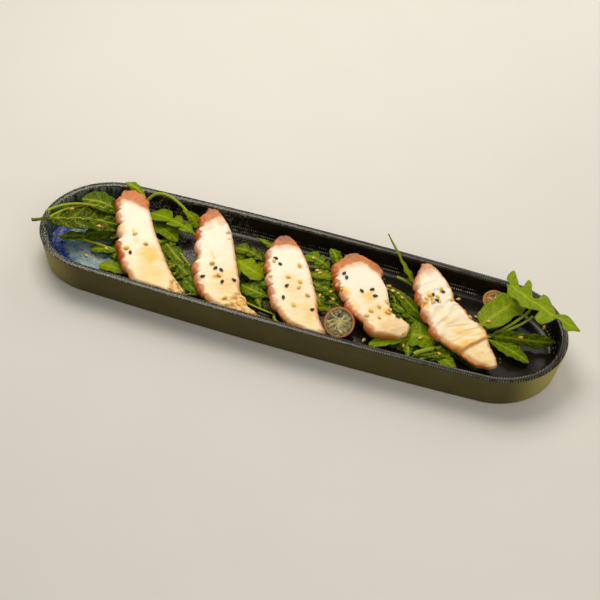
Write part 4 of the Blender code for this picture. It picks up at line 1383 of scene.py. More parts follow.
SLICES = (
    OctopusSlice(
        name="octopus_slice_1",
        back=(-133, 37, 27),
        front=(-65, -37, 18),
        edges=(
            (-3, 7, 3.5, 0), (0, 10, -1, 0), (8, 13.5, -6.3, 0), (24, 17.5, -5, 0),
            (40, 23, -2.4, 0.5), (55, 26, -1.4, 1), (69, 27.5, -0.8, 2.5), (79, 27, -1.2, 4),
            (89, 17, -2.6, 4), (97, 7.5, -3.5, 4), (101.5, -0.5, -3.4, 4),
        ),
        suckers=(
            (9.5, 1.6, 0.7), (21, 2, 0.4), (34, 1, 0.15), (46.5, 2.8, 0.95), (56.5, 2.2, 1), (65, 1.6, 0.5),
        ),
        skin_edge=((-5.1, 23.6), (-0.7, 18.2), (2.4, 13.3), (7.4, 7.6), (13.6, 9), (16, 13)),
        skirt_edge=((-4, 73), (0, 76), (1.5, 84.3), (6.9, 92.1), (9, 99)),
        dressing=(
            Mark(62.1, 9, 9.5, 8.5), Mark(41, 11.7, 4.6, 1.3, 0.85), Mark(47.8, 12.7, 2.2, 1.6, 0.6),
            Mark(76, 14, 11, 9, 0.55), Mark(52.5, 21.9, 3, 3.2), Mark(34, 19, 8, 4, 0.45),
        ),
        deep=(Mark(53.6, 8.3, 1.9, 1.9, 0.55), Mark(52.5, 21.9, 1.9, 2, 0.6), Mark(88, 1, 3, 2, 0.5)),
        pink=(Mark(13.2, -5.8, 12, 1.4, 0.8), Mark(22, 16.5, 3, 2.2, 0.4)),
        plum=(Mark(99.5, -2.5, 4.5, 3.5, 0.8),),
        membrane_strength=0.1,
        flaps=((8, 3, 1), (14.5, 3.5, 1.3)),
        dimples=(Mark(53.6, 8.3, 1.8, 1.8), Mark(52.5, 21.9, 1.8, 1.8), Mark(88, 1, 2, 2)),
        black_seeds=((56.8, 20.3),),
        toasted_seeds=((52.6, 21.3), (52.6, 8)),
        pale_seeds=((42, 11.9),),
    ),
    OctopusSlice(
        name="octopus_slice_2",
        back=(-73, 38.5, 27),
        front=(-17, -36, 17),
        edges=(
            (-4, 4.5, 2, 0), (-1.5, 6, -0.5, 0), (4, 8.5, -4, 0), (11, 12, -5.9, 0),
            (20, 16, -6.8, 0), (31, 19.5, -5.6, 0.5), (43, 24, -3.6, 1), (55, 26.5, -1.6, 1),
            (63, 27.3, -0.4, 1.5), (71, 27, 1.2, 3), (77, 25, -0.6, 4), (84, 18.5, 0.2, 4.5),
            (91, 9, -3.6, 4.5), (95, -1, -4.6, 4.5),
        ),
        suckers=(
            (8, 1.4, 0.5), (19, 2.2, 0.95), (29.5, 2, 0.1), (47, 2.6, 0.6), (57.5, 2, 0.45), (66, 1.2, 0.7),
        ),
        frill=2.6,
        skin_edge=((-5.1, 8), (0.9, 8.3), (5.5, 10.4), (13.1, 11.3)),
        skirt_edge=((-5, 72), (2.8, 71.2), (14.8, 81.4), (20, 92)),
        dressing=(
            Mark(41.9, 11.5, 4.6, 1.5, 0.7), Mark(49, 14.1, 2.8, 2.4), Mark(59.5, 13.1, 3, 4.6),
            Mark(64, 10, 13, 10, 0.35), Mark(79, 14.4, 3, 3, 0.8), Mark(47, 24.5, 4, 3, 0.8),
        ),
        deep=(
            Mark(49, 14.1, 1.7, 1.6, 0.75), Mark(59.5, 13.1, 1.7, 3.6, 0.85), Mark(79, 14.4, 1.6, 1.8, 0.8),
            Mark(84.4, 6, 2.2, 2, 0.6), Mark(85.9, 0, 2.2, 2, 0.7), Mark(72, 2, 2, 1.6, 0.8),
        ),
        pink=(
            Mark(13, -2, 5, 4, 0.45), Mark(16.5, 8, 3, 5, 0.25), Mark(92, 3, 3.5, 4, 0.6),
            Mark(86, 10, 2.5, 2.5, 0.5),
        ),
        plum=(Mark(24.4, -3.7, 1.7, 2.4, 0.75), Mark(29.5, -2.9, 0.8, 2.4, 0.5), Mark(94, -4, 3, 3, 0.4),
              Mark(-2, 2, 8, 6, 0.5)),
        dimples=(Mark(49, 14.1, 1.7, 1.7), Mark(84.4, 6, 2.4, 2.2), Mark(85.9, 0, 2.4, 2.2)),
        black_seeds=((52.8, 13.2), (55.2, 9.7), (64, 3.8), (64.8, 12), (57.6, 23)),
        toasted_seeds=((58.9, 12.4), (77.9, 13.7), (84.4, 4.5)),
        pale_seeds=((47.6, 13.8), (82.8, 5.5)),
    ),
    OctopusSlice(
        name="octopus_slice_3",
        back=(-20, 34.5, 24),
        front=(31, -36, 18),
        edges=(
            (-2, 5, 0.5, 0), (1, 8, -3.2, 0), (6, 11.5, -5.8, 0), (13, 15, -7.6, 0),
            (23, 18.5, -8.2, 0), (34, 21.5, -8, 0.5), (47, 23, -6.4, 1), (58, 24.2, -5.4, 1.5),
            (68, 23, -2.6, 2), (76, 19, -2.2, 3), (84, 10.5, -2.4, 3.5), (89.5, 2, -1.6, 3.5),
        ),
        suckers=((14, 1.6, 0.6), (24, 2.2, 0.9), (36, 1.6, 0.15), (47, 1.8, 0.75), (56, 1.6, 0.4)),
        skin_edge=((-7, 14.5), (-5.2, 12), (2.1, 9.4), (8.3, 8.9), (13.3, 7.5)),
        sucker_strength=0.85,
        right_edge_colour=0.75,
        dressing=(
            Mark(46, 8, 13, 7, 0.45), Mark(38.9, 8.8, 3, 3, 0.8), Mark(44.5, 2.4, 3, 3, 0.7),
            Mark(62.6, 12.1, 3.2, 3, 0.8), Mark(30.6, -1.5, 3, 2.4, 0.7), Mark(70, 4, 8, 5, 0.5),
        ),
        deep=(
            Mark(38.9, 8.8, 1.6, 1.5, 0.55), Mark(62.6, 12.1, 1.6, 1.5, 0.5), Mark(56.4, 0.9, 1.6, 1.5, 0.5),
        ),
        plum=(Mark(88, 0.5, 4, 3.5, 0.5), Mark(-1, 2, 9, 9, 0.85)),
        dimples=(Mark(38.9, 8.8, 1.7, 1.7), Mark(44.5, 2.4, 1.7, 1.7), Mark(62.6, 12.1, 1.8, 1.8)),
        black_seeds=((20.5, 12.1), (26.3, 10.6), (46, 11.8), (55.3, 17.1), (68, 1.4)),
        toasted_seeds=((30.6, -1.5), (44.5, 2.4), (56.4, 0.9)),
        pale_seeds=((22.3, 13.6), (38.9, 8.8), (49, 4.5), (62.6, 12.1), (35.7, 20)),
    ),
    OctopusSlice(
        name="octopus_slice_4",
        back=(29, 35.5, 24),
        front=(79, -20, 19),
        edges=(
            (-1.5, 5.5, 0.5, 0), (1, 10.5, -2.6, 0), (6, 17.5, -6, 0), (14, 20.5, -11, 0.5),
            (21, 22, -12.6, 1.5), (26, 22.2, -8.6, 0.5), (36, 23.2, -7.6, 0.5), (46, 24, -4.4, 0.5),
            (56, 21, -1.6, 0.5), (62, 19.6, -4.8, 0.5), (69, 16.5, -7.6, 0.5), (75, 6, -4.5, 0.5),
        ),
        suckers=((10.5, 1.4, 0.8), (21.5, 2.4, 0.9), (32, 1.6, 0.2), (43, 1.6, 0.6), (64, 1.4, 0.5)),
        skin_edge=((-9, 24.5), (-6.9, 22), (-5, 18), (-2.2, 11.1), (4.2, 9.2), (11.7, 10), (19.3, 13.5)),
        right_edge_colour=0.2,
        dressing=(
            Mark(41, 8.4, 6, 5.5, 0.8), Mark(31, 20.5, 6, 3.5, 0.95), Mark(56, 2, 4, 4),
            Mark(51.5, 8, 5, 7, 0.4), Mark(44, 20, 6, 3, 0.6),
        ),
        deep=(Mark(56.3, 1.1, 2, 3, 0.95), Mark(50.6, 5.2, 1.4, 1.6, 0.5), Mark(52.4, 12.2, 1.4, 1.7, 0.5)),
        pink=(Mark(68, 4, 8, 9, 0.25),),
        plum=(Mark(0, 4, 6, 12, 0.6), Mark(13, -10, 9, 3, 0.4)),
        dimples=(Mark(50.6, 5.2, 1.5, 1.7), Mark(52.4, 12.2, 1.5, 1.8), Mark(58.4, 9.2, 1.6, 1.8)),
        black_seeds=(
            (16.8, 14.6), (20.7, 14.8), (34.9, 10.6), (35.9, 3.5), (41.7, 3.9), (57.5, -1.6), (62, -2.2),
        ),
        toasted_seeds=((50.7, 5.5), (52.3, 12.1), (58.8, 9.4), (57, 2)),
        pale_seeds=((48.2, -1.1), (54.7, 16.5), (54.6, -0.6)),
    ),
    OctopusSlice(
        name="octopus_slice_5",
        back=(78, 37, 29),
        front=(138, -26, 19),
        edges=(
            (-3, 4, 1, 0), (1, 6.5, -3, 0), (7, 11, -5.6, 0), (17, 16.5, -6.6, 0),
            (27, 19.8, -5.6, 0), (34, 21.5, -3.4, 0), (41, 22.3, -5.8, 0.5), (50, 23.2, -6.6, 1),
            (58, 22, -10.8, 1.5), (65, 19, -9.6, 1), (72, 15.2, -7.2, 0.5), (80, 11.4, -6, 0.5),
            (87.5, 4, -5, 0.5),
        ),
        suckers=((12, 1.4, 0.3), (23, 1.6, 1), (37, 1.2, 0.6), (52, 1.6, 0.7)),
        skin_edge=((-5.3, 11), (-2, 5.6), (5.2, 5.2), (12.5, 12)),
        skin_strength=0.55,
        sucker_strength=0.8,
        ridge=0.75,
        fold=((69.2, 0.167, 1.2),),
        right_edge_colour=0.85,
        dressing=(
            Mark(68.2, 9, 3.2, 8, 0.9), Mark(66.3, -5, 3, 4, 0.7), Mark(57.6, 7.2, 6, 6, 0.6),
            Mark(61.3, 3.1, 2, 6, 0.6), Mark(47.4, 9.3, 3, 6, 0.35), Mark(24, 12, 3, 3, 0.8),
            Mark(31, 17.5, 5, 3, 0.9), Mark(80, 4, 8, 5, 0.3),
        ),
        deep=(
            Mark(45, -5, 7, 1.6, 0.8), Mark(58, -9, 6, 2, 0.85),
            Mark(26, 2.5, 2, 1.6, 0.6), Mark(59.5, 8.5, 1.6, 3, 0.3),
        ),
        pink=(Mark(3, 2, 8, 9, 0.5),),
        dimples=(Mark(26, 2.5, 1.8, 1.6),),
        black_seeds=((25.6, 8.8), (31.6, 9.3), (26.2, 1.4)),
        toasted_seeds=((23.9, 1.7), (28.4, 10.9), (26, 11.5), (33.7, -0.9), (49.4, -5.1)),
        pale_seeds=((29.7, 16.2), (32.6, 8), (29, 7.2), (27.4, 14.4), (32, 12.6)),
    ),
)


# Rocket leaves


def alike(rows: tuple) -> tuple:
    """Make a leaf outline whose two halves are alike from rows of (rib, along, across)."""
    return tuple((rib, along, across, along, across) for rib, along, across in rows)


class Outline(Enum):
    """Leaf outlines: rows of (rib, left along, left across, right along, right across).

    Along is a share of the rib's length and across is a share of the half-width.
    """

    SPOON = alike((
        (0, 0, 0.16), (0.22, 0.22, 0.2), (0.38, 0.38, 0.62), (0.58, 0.58, 0.96), (0.76, 0.76, 0.94),
        (0.92, 0.92, 0.55), (1, 1, 0.08),
    ))
    BROAD = alike((
        (0, 0, 0.1), (0.17, 0.17, 0.14), (0.25, 0.22, 0.62), (0.4, 0.4, 0.94), (0.58, 0.58, 0.84),
        (0.72, 0.72, 0.98), (0.88, 0.88, 0.72), (1, 1, 0.12),
    ))
    BLADE = alike((
        (0, 0, 0.3), (0.18, 0.18, 0.8), (0.38, 0.38, 1), (0.62, 0.62, 0.66), (0.84, 0.84, 0.32),
        (1, 1, 0.08),
    ))
    OAK = alike((
        (0, 0, 0.12), (0.17, 0.17, 0.14), (0.24, 0.28, 0.6), (0.31, 0.36, 0.62), (0.35, 0.37, 0.2),
        (0.42, 0.47, 0.8), (0.5, 0.57, 0.84), (0.55, 0.57, 0.26), (0.66, 0.68, 0.92), (0.8, 0.82, 0.86),
        (0.92, 0.94, 0.45), (1, 1, 0.08),
    ))
    CREST = (
        (0, -0.11, 0.24, -0.05, 0.05), (0.02, -0.15, 0.56, 0, 0.22), (0.04, -0.15, 0.9, 0.04, 0.4),
        (0.07, -0.04, 0.6, 0.09, 0.63), (0.1, 0.06, 0.28, 0.13, 0.65), (0.12, 0.07, 0.46, 0.17, 0.6),
        (0.14, 0.045, 0.88, 0.2, 0.58), (0.17, 0.1, 0.85, 0.24, 0.64), (0.21, 0.18, 0.5, 0.29, 0.75),
        (0.26, 0.26, 0.24, 0.34, 0.65), (0.31, 0.3, 0.42, 0.39, 0.43), (0.34, 0.285, 0.77, 0.43, 0.31),
        (0.39, 0.36, 0.75, 0.455, 0.28), (0.46, 0.46, 0.54, 0.48, 0.7), (0.53, 0.54, 0.32, 0.53, 0.95),
        (0.58, 0.6, 0.16, 0.61, 0.94), (0.62, 0.62, 0.15, 0.65, 0.46), (0.65, 0.65, 0.3, 0.66, 0.08),
        (0.73, 0.73, 0.41, 0.75, 0.17), (0.8, 0.83, 0.32, 0.82, 0.43), (0.88, 0.91, 0.18, 0.87, 0.46),
        (0.94, 0.96, 0.09, 0.93, 0.21), (1, 1, 0.03, 1, 0.04),
    )


@dataclass(frozen=True)
class Ground:
    """What the salad lies between: the dish below it and the slices above it."""

    dish: StonewareDish
    slices: tuple[OctopusSlice, ...]
    slice_margin: float = 1.2
    gap: float = 0.3
    widest: tuple = (-15.0, 33.0)

    def slice_underside(self, x: float, y: float, margin: float) -> float | None:
        """Find the lowest slice underside over a plan point.

        Args:
            x: the point's place along the dish.
            y: its place across the dish.
            margin: how far a slice is taken to reach beyond its edges.

        Returns:
            Its height, or None where no slice lies.
        """
        found = []
        for piece in self.slices:
            along, across = piece.place_of(x, y)
            near = piece.start - margin < along < piece.end + margin
            if not near or not self.widest[0] < across < self.widest[1]:
                continue
            held = clamp(along, piece.start, piece.end)
            left, right = piece.edges_at(held)
            if right - margin < across < left + margin:
                share = clamp((across - (left + right) / 2) / ((left - right) / 2), -1.0, 1.0)
                found.append(piece.height_at(held, share, -1.0))
        return min(found, default=None)

    def fitted_height(self, x: float, y: float, height: float, half_thickness: float) -> float:
        """Hold a point of the salad above the dish and below the slices.

        Args:
            x: the point's place along the dish.
            y: its place across the dish.
            height: the height that it would have.
            half_thickness: half the thickness of the leaf or stem there.

        Returns:
            The height that it gets.
        """
        under = self.slice_underside(x, y, self.slice_margin)
        if under is not None:
            height = min(height, under - self.gap - half_thickness)
        floor = self.dish.surface_at(x, y)
        if floor is not None:
            height = max(height, floor + self.gap + half_thickness)
        return height


@dataclass(frozen=True)
class Rib:
    """The curve through the base, middle and tip of a leaf or a stem."""

    base: tuple
    middle: tuple
    tip: tuple

    def control(self) -> Vector:
        """Return the curve's control point."""
        return Vector(self.middle) * 2 - (Vector(self.base) + Vector(self.tip)) / 2

    def direction(self, place: float) -> Vector:
        """Return the curve's direction, as long as it runs for one unit of place."""
        control = self.control()
        return (control - Vector(self.base)) * (2 * (1 - place)) + (Vector(self.tip) - control) * (2 * place)

    def point(self, place: float) -> Vector:
        """Find a point on the curve, carried on straight beyond its ends.

        Args:
            place: 0 at the base to 1 at the tip.

        Returns:
            The point.
        """
        held = clamp(place)
        curve = Vector(self.base) * (1 - held) ** 2 + self.control() * (2 * held * (1 - held))
        return curve + Vector(self.tip) * held**2 + self.direction(held) * (place - held)

    def frame_at(self, place: float) -> tuple[Vector, Vector]:
        """Find the curve's own axes at a place.

        Args:
            place: 0 at the base to 1 at the tip.

        Returns:
            The level direction to its left and the direction that looks up from it.
        """
        forward = self.direction(place).normalized()
        side = Vector((0.0, 0.0, 1.0)).cross(forward).normalized()
        return side, forward.cross(side)


@dataclass(frozen=True)
class Leaf:
    """A leaf blade: its outline, rib, half-width, roll in degrees, cup and brightness."""

    outline: Outline
    rib: Rib
    half_width: float
    roll: float = 0.0
    cup: float = 0.12
    tone: float = 0.6
    blister: float = 0.25
    rows: int = 40
    columns: int = 6
    rib_thickness: float = 0.9
    edge_thickness: float = 0.35
    vein_count: float = 7.0
    vein_width: float = 0.09
    rib_width: float = 0.7
    wave: float = 0.6
    ruffle: float = 0.5
    swell: float = 1.2
    blister_size: float = 3.6

    def outline_row(self, place: float) -> list[float]:
        """Read the outline on a smooth curve through its rows.

        Args:
            place: 0 at the first row to 1 at the last.

        Returns:
            The outline's five numbers there.
        """
        rows = self.outline.value
        spot = place * (len(rows) - 1)
        index = min(int(spot), len(rows) - 2)
        near = [rows[int(clamp(index + k, 0, len(rows) - 1))] for k in (-1, 0, 1, 2)]
        return [curve_through(stops, spot - index) for stops in zip(*near)]

    def surface(self, ground: Ground, place: float, across: float, swell: float) -> tuple[Vector, Vector]:
        """Find a point of the blade's middle surface.

        Args:
            ground: what the blade lies between.
            place: 0 at the rib's base to 1 at its tip.
            across: distance to the rib's left.
            swell: how far the blade is puffed up there.

        Returns:
            The point and the direction that looks up from it.
        """
        flat_side, flat_up = self.rib.frame_at(clamp(place))
        roll = math.radians(self.roll)
        side = flat_side * math.cos(roll) + flat_up * math.sin(roll)
        up = flat_up * math.cos(roll) - flat_side * math.sin(roll)
        share = across / self.half_width
        wave = self.wave * math.sin(place * 11.0 + share) * abs(share)
        ruffle = self.ruffle * math.sin(place * 37.0 + self.half_width) * share**2
        middle = self.rib.point(place) + side * across
        puff = self.blister * lumps(middle.x, middle.y, self.blister_size, self.half_width)
        middle += up * (self.cup * self.half_width * share**2 + wave + ruffle + swell + puff)
        middle.z = ground.fitted_height(middle.x, middle.y, middle.z, self.rib_thickness / 2)
        return middle, up

    def add_to(self, piece: Piece, ground: Ground) -> None:
        """Skin the blade into a piece as a thin closed solid with veins.

        Args:
            piece: the piece that the blade goes into.
            ground: what the blade lies between.
        """
        tops, bottoms = [], []
        for i in range(self.rows):
            place = i / (self.rows - 1)
            rib, left_along, left_across, right_along, right_across = self.outline_row(place)
            top, bottom = [], []
            for column in range(-self.columns, self.columns + 1):
                share = abs(column) / self.columns
                along, width = (left_along, left_across) if column > 0 else (right_along, right_across)
                across = math.copysign(max(width, 0.03) * self.half_width * share, column)
                branch = (place * self.vein_count - share * 0.9) % 1.0
                side_vein = math.exp(-((min(branch, 1 - branch) / self.vein_width) ** 2)) * (1 - 0.5 * share)
                main_vein = math.exp(-((share * self.half_width / self.rib_width) ** 2))
                vein = clamp(max(side_vein * 0.6, main_vein))
                swell = self.swell * math.sin(math.pi * branch) * share * (1 - share) - 0.1 * vein
                middle, up = self.surface(ground, between(rib, along, share), across, swell)
                half = between(self.rib_thickness, self.edge_thickness, min(1.0, share * 2)) / 2
                top.append(piece.add_point(middle + up * half, tone=self.tone, vein=vein))
                # The lower side is painted a tenth darker, as painted shade
                bottom.append(piece.add_point(middle - up * half, tone=self.tone * 0.9, vein=vein))
            tops.append(top)
            bottoms.append(bottom)
        self.close(piece, tops, bottoms)

    def close(self, piece: Piece, tops: list[list[int]], bottoms: list[list[int]]) -> None:
        """Face the blade's two sides and join them round its edge.

        Args:
            piece: the piece that the blade goes into.
            tops: the rows of vertex numbers on the upper side.
            bottoms: the rows of vertex numbers on the lower side.
        """
        last = 2 * self.columns
        for grid in (tops, bottoms):
            for here, there in zip(grid, grid[1:]):
                for k in range(last):
                    piece.add_face((here[k], here[k + 1], there[k + 1]))
                    piece.add_face((here[k], there[k + 1], there[k]))
        for i in range(self.rows - 1):
            for k in (0, last):
                piece.add_face((tops[i][k], tops[i + 1][k], bottoms[i + 1][k], bottoms[i][k]))
        for i in (0, self.rows - 1):
            for k in range(last):
                piece.add_face((tops[i][k], tops[i][k + 1], bottoms[i][k + 1], bottoms[i][k]))


@dataclass(frozen=True)
class Stem:
    """A stalk along a rib: its radius and how much red it has."""

    rib: Rib
    radius: float = 0.9
    blush: float = 0.0
    rows: int = 30
    sides: int = 12
    grooves: int = 4
    groove_depth: float = 0.1

    def add_to(self, piece: Piece, ground: Ground) -> None:
        """Skin the stalk into a piece, thinner towards its tip and finely grooved.

        Args:
            piece: the piece that the stalk goes into.
            ground: what the stalk lies between.
        """
        rings = []
        for i in range(self.rows):
            place = i / (self.rows - 1)
            centre = self.rib.point(place)
            centre.z = ground.fitted_height(centre.x, centre.y, centre.z, self.radius)
            side, up = self.rib.frame_at(place)
            red = self.blush * smooth_step(0.3, 0.6, place)
            ring = []
            for k in range(self.sides):
                angle = 2 * math.pi * k / self.sides
                groove = 1 + self.groove_depth * math.cos(self.grooves * angle)
                radius = self.radius * (1.1 - 0.3 * place) * groove
                offset = side * (radius * math.cos(angle)) + up * (radius * math.sin(angle))
                ring.append(piece.add_point(centre + offset, blush=red))
            rings.append(ring)
        piece.add_rings(rings)


def leaf(outline: Outline, base: tuple, middle: tuple, tip: tuple, half_width: float, **more: float) -> Leaf:
    """Write a leaf in one line."""
    return Leaf(outline, Rib(base, middle, tip), half_width, **more)


def stem(base: tuple, middle: tuple, tip: tuple, radius: float = 0.9, blush: float = 0.0) -> Stem:
    """Write a stem in one line."""
    return Stem(Rib(base, middle, tip), radius, blush)


SPOON, BROAD, BLADE, OAK, CREST = Outline

LEAVES = (
    # left end
    leaf(BROAD, (-180, -20.5, 30), (-154, -1, 24), (-127, 14, 13), 12, roll=4, tone=0.12, blister=1.7,
         rows=60, columns=10),
    leaf(SPOON, (-129, 18, 13), (-143, 20, 22.5), (-161, 15, 26.5), 8.5, roll=-8, tone=0.28, blister=1),
    leaf(BLADE, (-129, 25, 15), (-143.5, 25.5, 21), (-154, 23, 26.5), 2.6),
    leaf(SPOON, (-128, 0, 10.5), (-148, -5, 12.5), (-167, -10.5, 11.5), 4, tone=0.4),
    leaf(OAK, (-122, 2, 11.5), (-137, 0.5, 15.5), (-151, -5, 12), 8, tone=0.4),
    leaf(SPOON, (-117, -8, 11), (-130, -11, 11.8), (-142, -13.5, 10.2), 4.2, tone=0.5),
    leaf(SPOON, (-103, -28.5, 10.8), (-116, -26.5, 12.6), (-130, -25.5, 10.6), 5.4, tone=0.75),
    leaf(SPOON, (-120, 33, 15), (-128, 39, 24.6), (-140, 42, 27), 3.4, tone=0.7),
    # between the first and second slices
    leaf(BLADE, (-79, 28, 15), (-86, 32, 20.5), (-94, 33.5, 23), 4, roll=-30, tone=0.75),
    leaf(OAK, (-74, 19, 14), (-96, 26, 18), (-118, 29, 16), 8.5, roll=8, tone=0.7),
    leaf(BROAD, (-116, 22, 12.5), (-102, 19, 14.5), (-90, 15, 10.8), 7, roll=-10, tone=0.6),
    leaf(OAK, (-103, 9, 11), (-93, 6, 13), (-81, -5, 11.2), 6, tone=0.35),
    leaf(OAK, (-88, -5, 10.6), (-77, -10, 12.6), (-64, -19, 11), 6, roll=10, tone=0.35),
    leaf(SPOON, (-76, -14, 10.4), (-67, -22, 11.6), (-56, -29, 11), 4.2, tone=0.45),
    # between the second and third slices
    leaf(BLADE, (-19, 26, 13), (-28, 28, 17.5), (-38, 29.5, 19), 3.6, tone=0.45),
    leaf(OAK, (-24, 16, 10.4), (-38, 20.5, 13.4), (-51, 21, 12.4), 5.6, tone=0.45),
    leaf(BROAD, (-17, 0, 11.6), (-31, 1, 16.5), (-44, 6.5, 16), 10, roll=12, tone=0.8),
    leaf(SPOON, (-9, -14, 11), (-22, -14.5, 13.6), (-34, -10, 12), 6.2, roll=-6, tone=0.5),
    leaf(SPOON, (-14, -5, 11), (-21, -4.5, 13), (-28, -3.5, 12), 3.6, tone=0.6),
    # between the third and fourth slices
    leaf(SPOON, (24, 19, 12), (20, 29, 18), (13, 36, 21), 4.6, roll=14, tone=0.5),
    leaf(OAK, (20, 22, 12), (9, 26, 17), (-3, 29, 15), 6.4, tone=0.55),
    leaf(SPOON, (29, 17, 11.4), (18, 16.5, 14.4), (6, 16, 12.4), 5, tone=0.65),
    leaf(OAK, (33, -2, 10.8), (23, 4, 13.4), (11, 9, 11.4), 6.6, tone=0.45),
    leaf(SPOON, (10, 4, 10.8), (16, -3, 12.4), (22, -10, 10.4), 4.6, tone=0.4),
    # between the fourth and fifth slices
    leaf(BLADE, (77, 27, 12.4), (63, 36.5, 24), (49, 46, 38), 3, roll=30, cup=0.3, tone=0.7),
    leaf(BLADE, (91, 0, 11), (73, 13, 13.8), (56, 24.5, 13), 6.2, roll=10, tone=0.45),
    leaf(OAK, (88, -5, 10.8), (77, 3, 12.8), (64, 10, 11.6), 5.4, tone=0.35),
    leaf(BROAD, (104, -14, 11), (91.5, -14.5, 14.6), (79, -15, 11.2), 10.5, roll=-8, tone=0.65),
    leaf(SPOON, (86, -16, 11), (73, -23.5, 12.8), (60, -31.5, 11.6), 4.6, tone=0.85),
    leaf(SPOON, (82, -14, 10.8), (84, -24, 12.2), (86, -32, 10.8), 2.8, tone=0.5),
    leaf(SPOON, (95, -19, 10.8), (106, -26.5, 12.6), (117, -31.5, 11), 4.8, tone=0.7),
    leaf(SPOON, (118, -12, 10.8), (110, -18.5, 12.2), (102, -22, 11.4), 3.8, tone=0.55),
    # right end
    leaf(CREST, (135.5, 34, 31), (161.5, 14.5, 36), (184, 2.5, 38), 13.4, cup=0.1, tone=0.75, rows=110,
         vein_count=9),
    leaf(BROAD, (118, 3, 11), (133, 21, 18.5), (144, 37, 21), 11, tone=0.75),
    leaf(SPOON, (124, 2, 10.8), (142, -3.5, 12.8), (159, -9, 10.6), 6.4, roll=-8, tone=0.5),
    leaf(BROAD, (122, 4, 11.4), (149, 5.5, 14.6), (172, 11, 14.4), 5.2, roll=72, cup=0.05, tone=0.3),
)

STEMS = (
    stem((-174.5, -9.5, 31), (-158, 9, 28), (-134, 19, 17.5)),
    stem((-171, -12, 28.5), (-160, 7, 26.6), (-142, 17, 22), 0.8, 0.8),
    stem((-162.5, -8, 9.9), (-144, -8.5, 12.6), (-116, -10.5, 11), 1),
    stem((-124, 30, 14), (-110, 40, 27.5), (-79, 28.5, 15.5), 1.1),
    stem((-110, 13, 11), (-88, 2, 12.2), (-58, -22, 10.8), 0.9),
    stem((-100, 15, 10.6), (-86, 6, 12), (-70, -8, 10.8), 0.8),
    stem((-31, -21.5, 10.2), (-18, -25, 10.8), (-4, -27, 10.6), 0.7),
    stem((-4, -30, 12.6), (1.5, -34.5, 12), (14, -32, 10.8), 0.9),
    stem((2, 22.5, 12.6), (12, 23.5, 13.8), (27, 24, 12), 0.9),
    stem((7, 14, 11.8), (19, 12, 12.6), (33, 8, 11.2), 1.1),
    stem((13, 36, 18), (18, 30, 18.5), (26, 22, 12), 0.8),
    stem((61, 33, 14.2), (70, 30.5, 13.8), (82, 25, 12.4), 0.9),
    stem((89, -29, 11.6), (97, -23, 13.2), (107, -15, 11.4), 1.4),
    stem((134, 8, 11.6), (147, 19, 20), (152, 16.5, 34), 1),
    stem((128, 2, 11), (144, 14, 14.6), (154, 24, 19.5), 1),
    stem((141, 33, 19.6), (139, 32, 25), (138, 31.5, 31.4), 1),
)


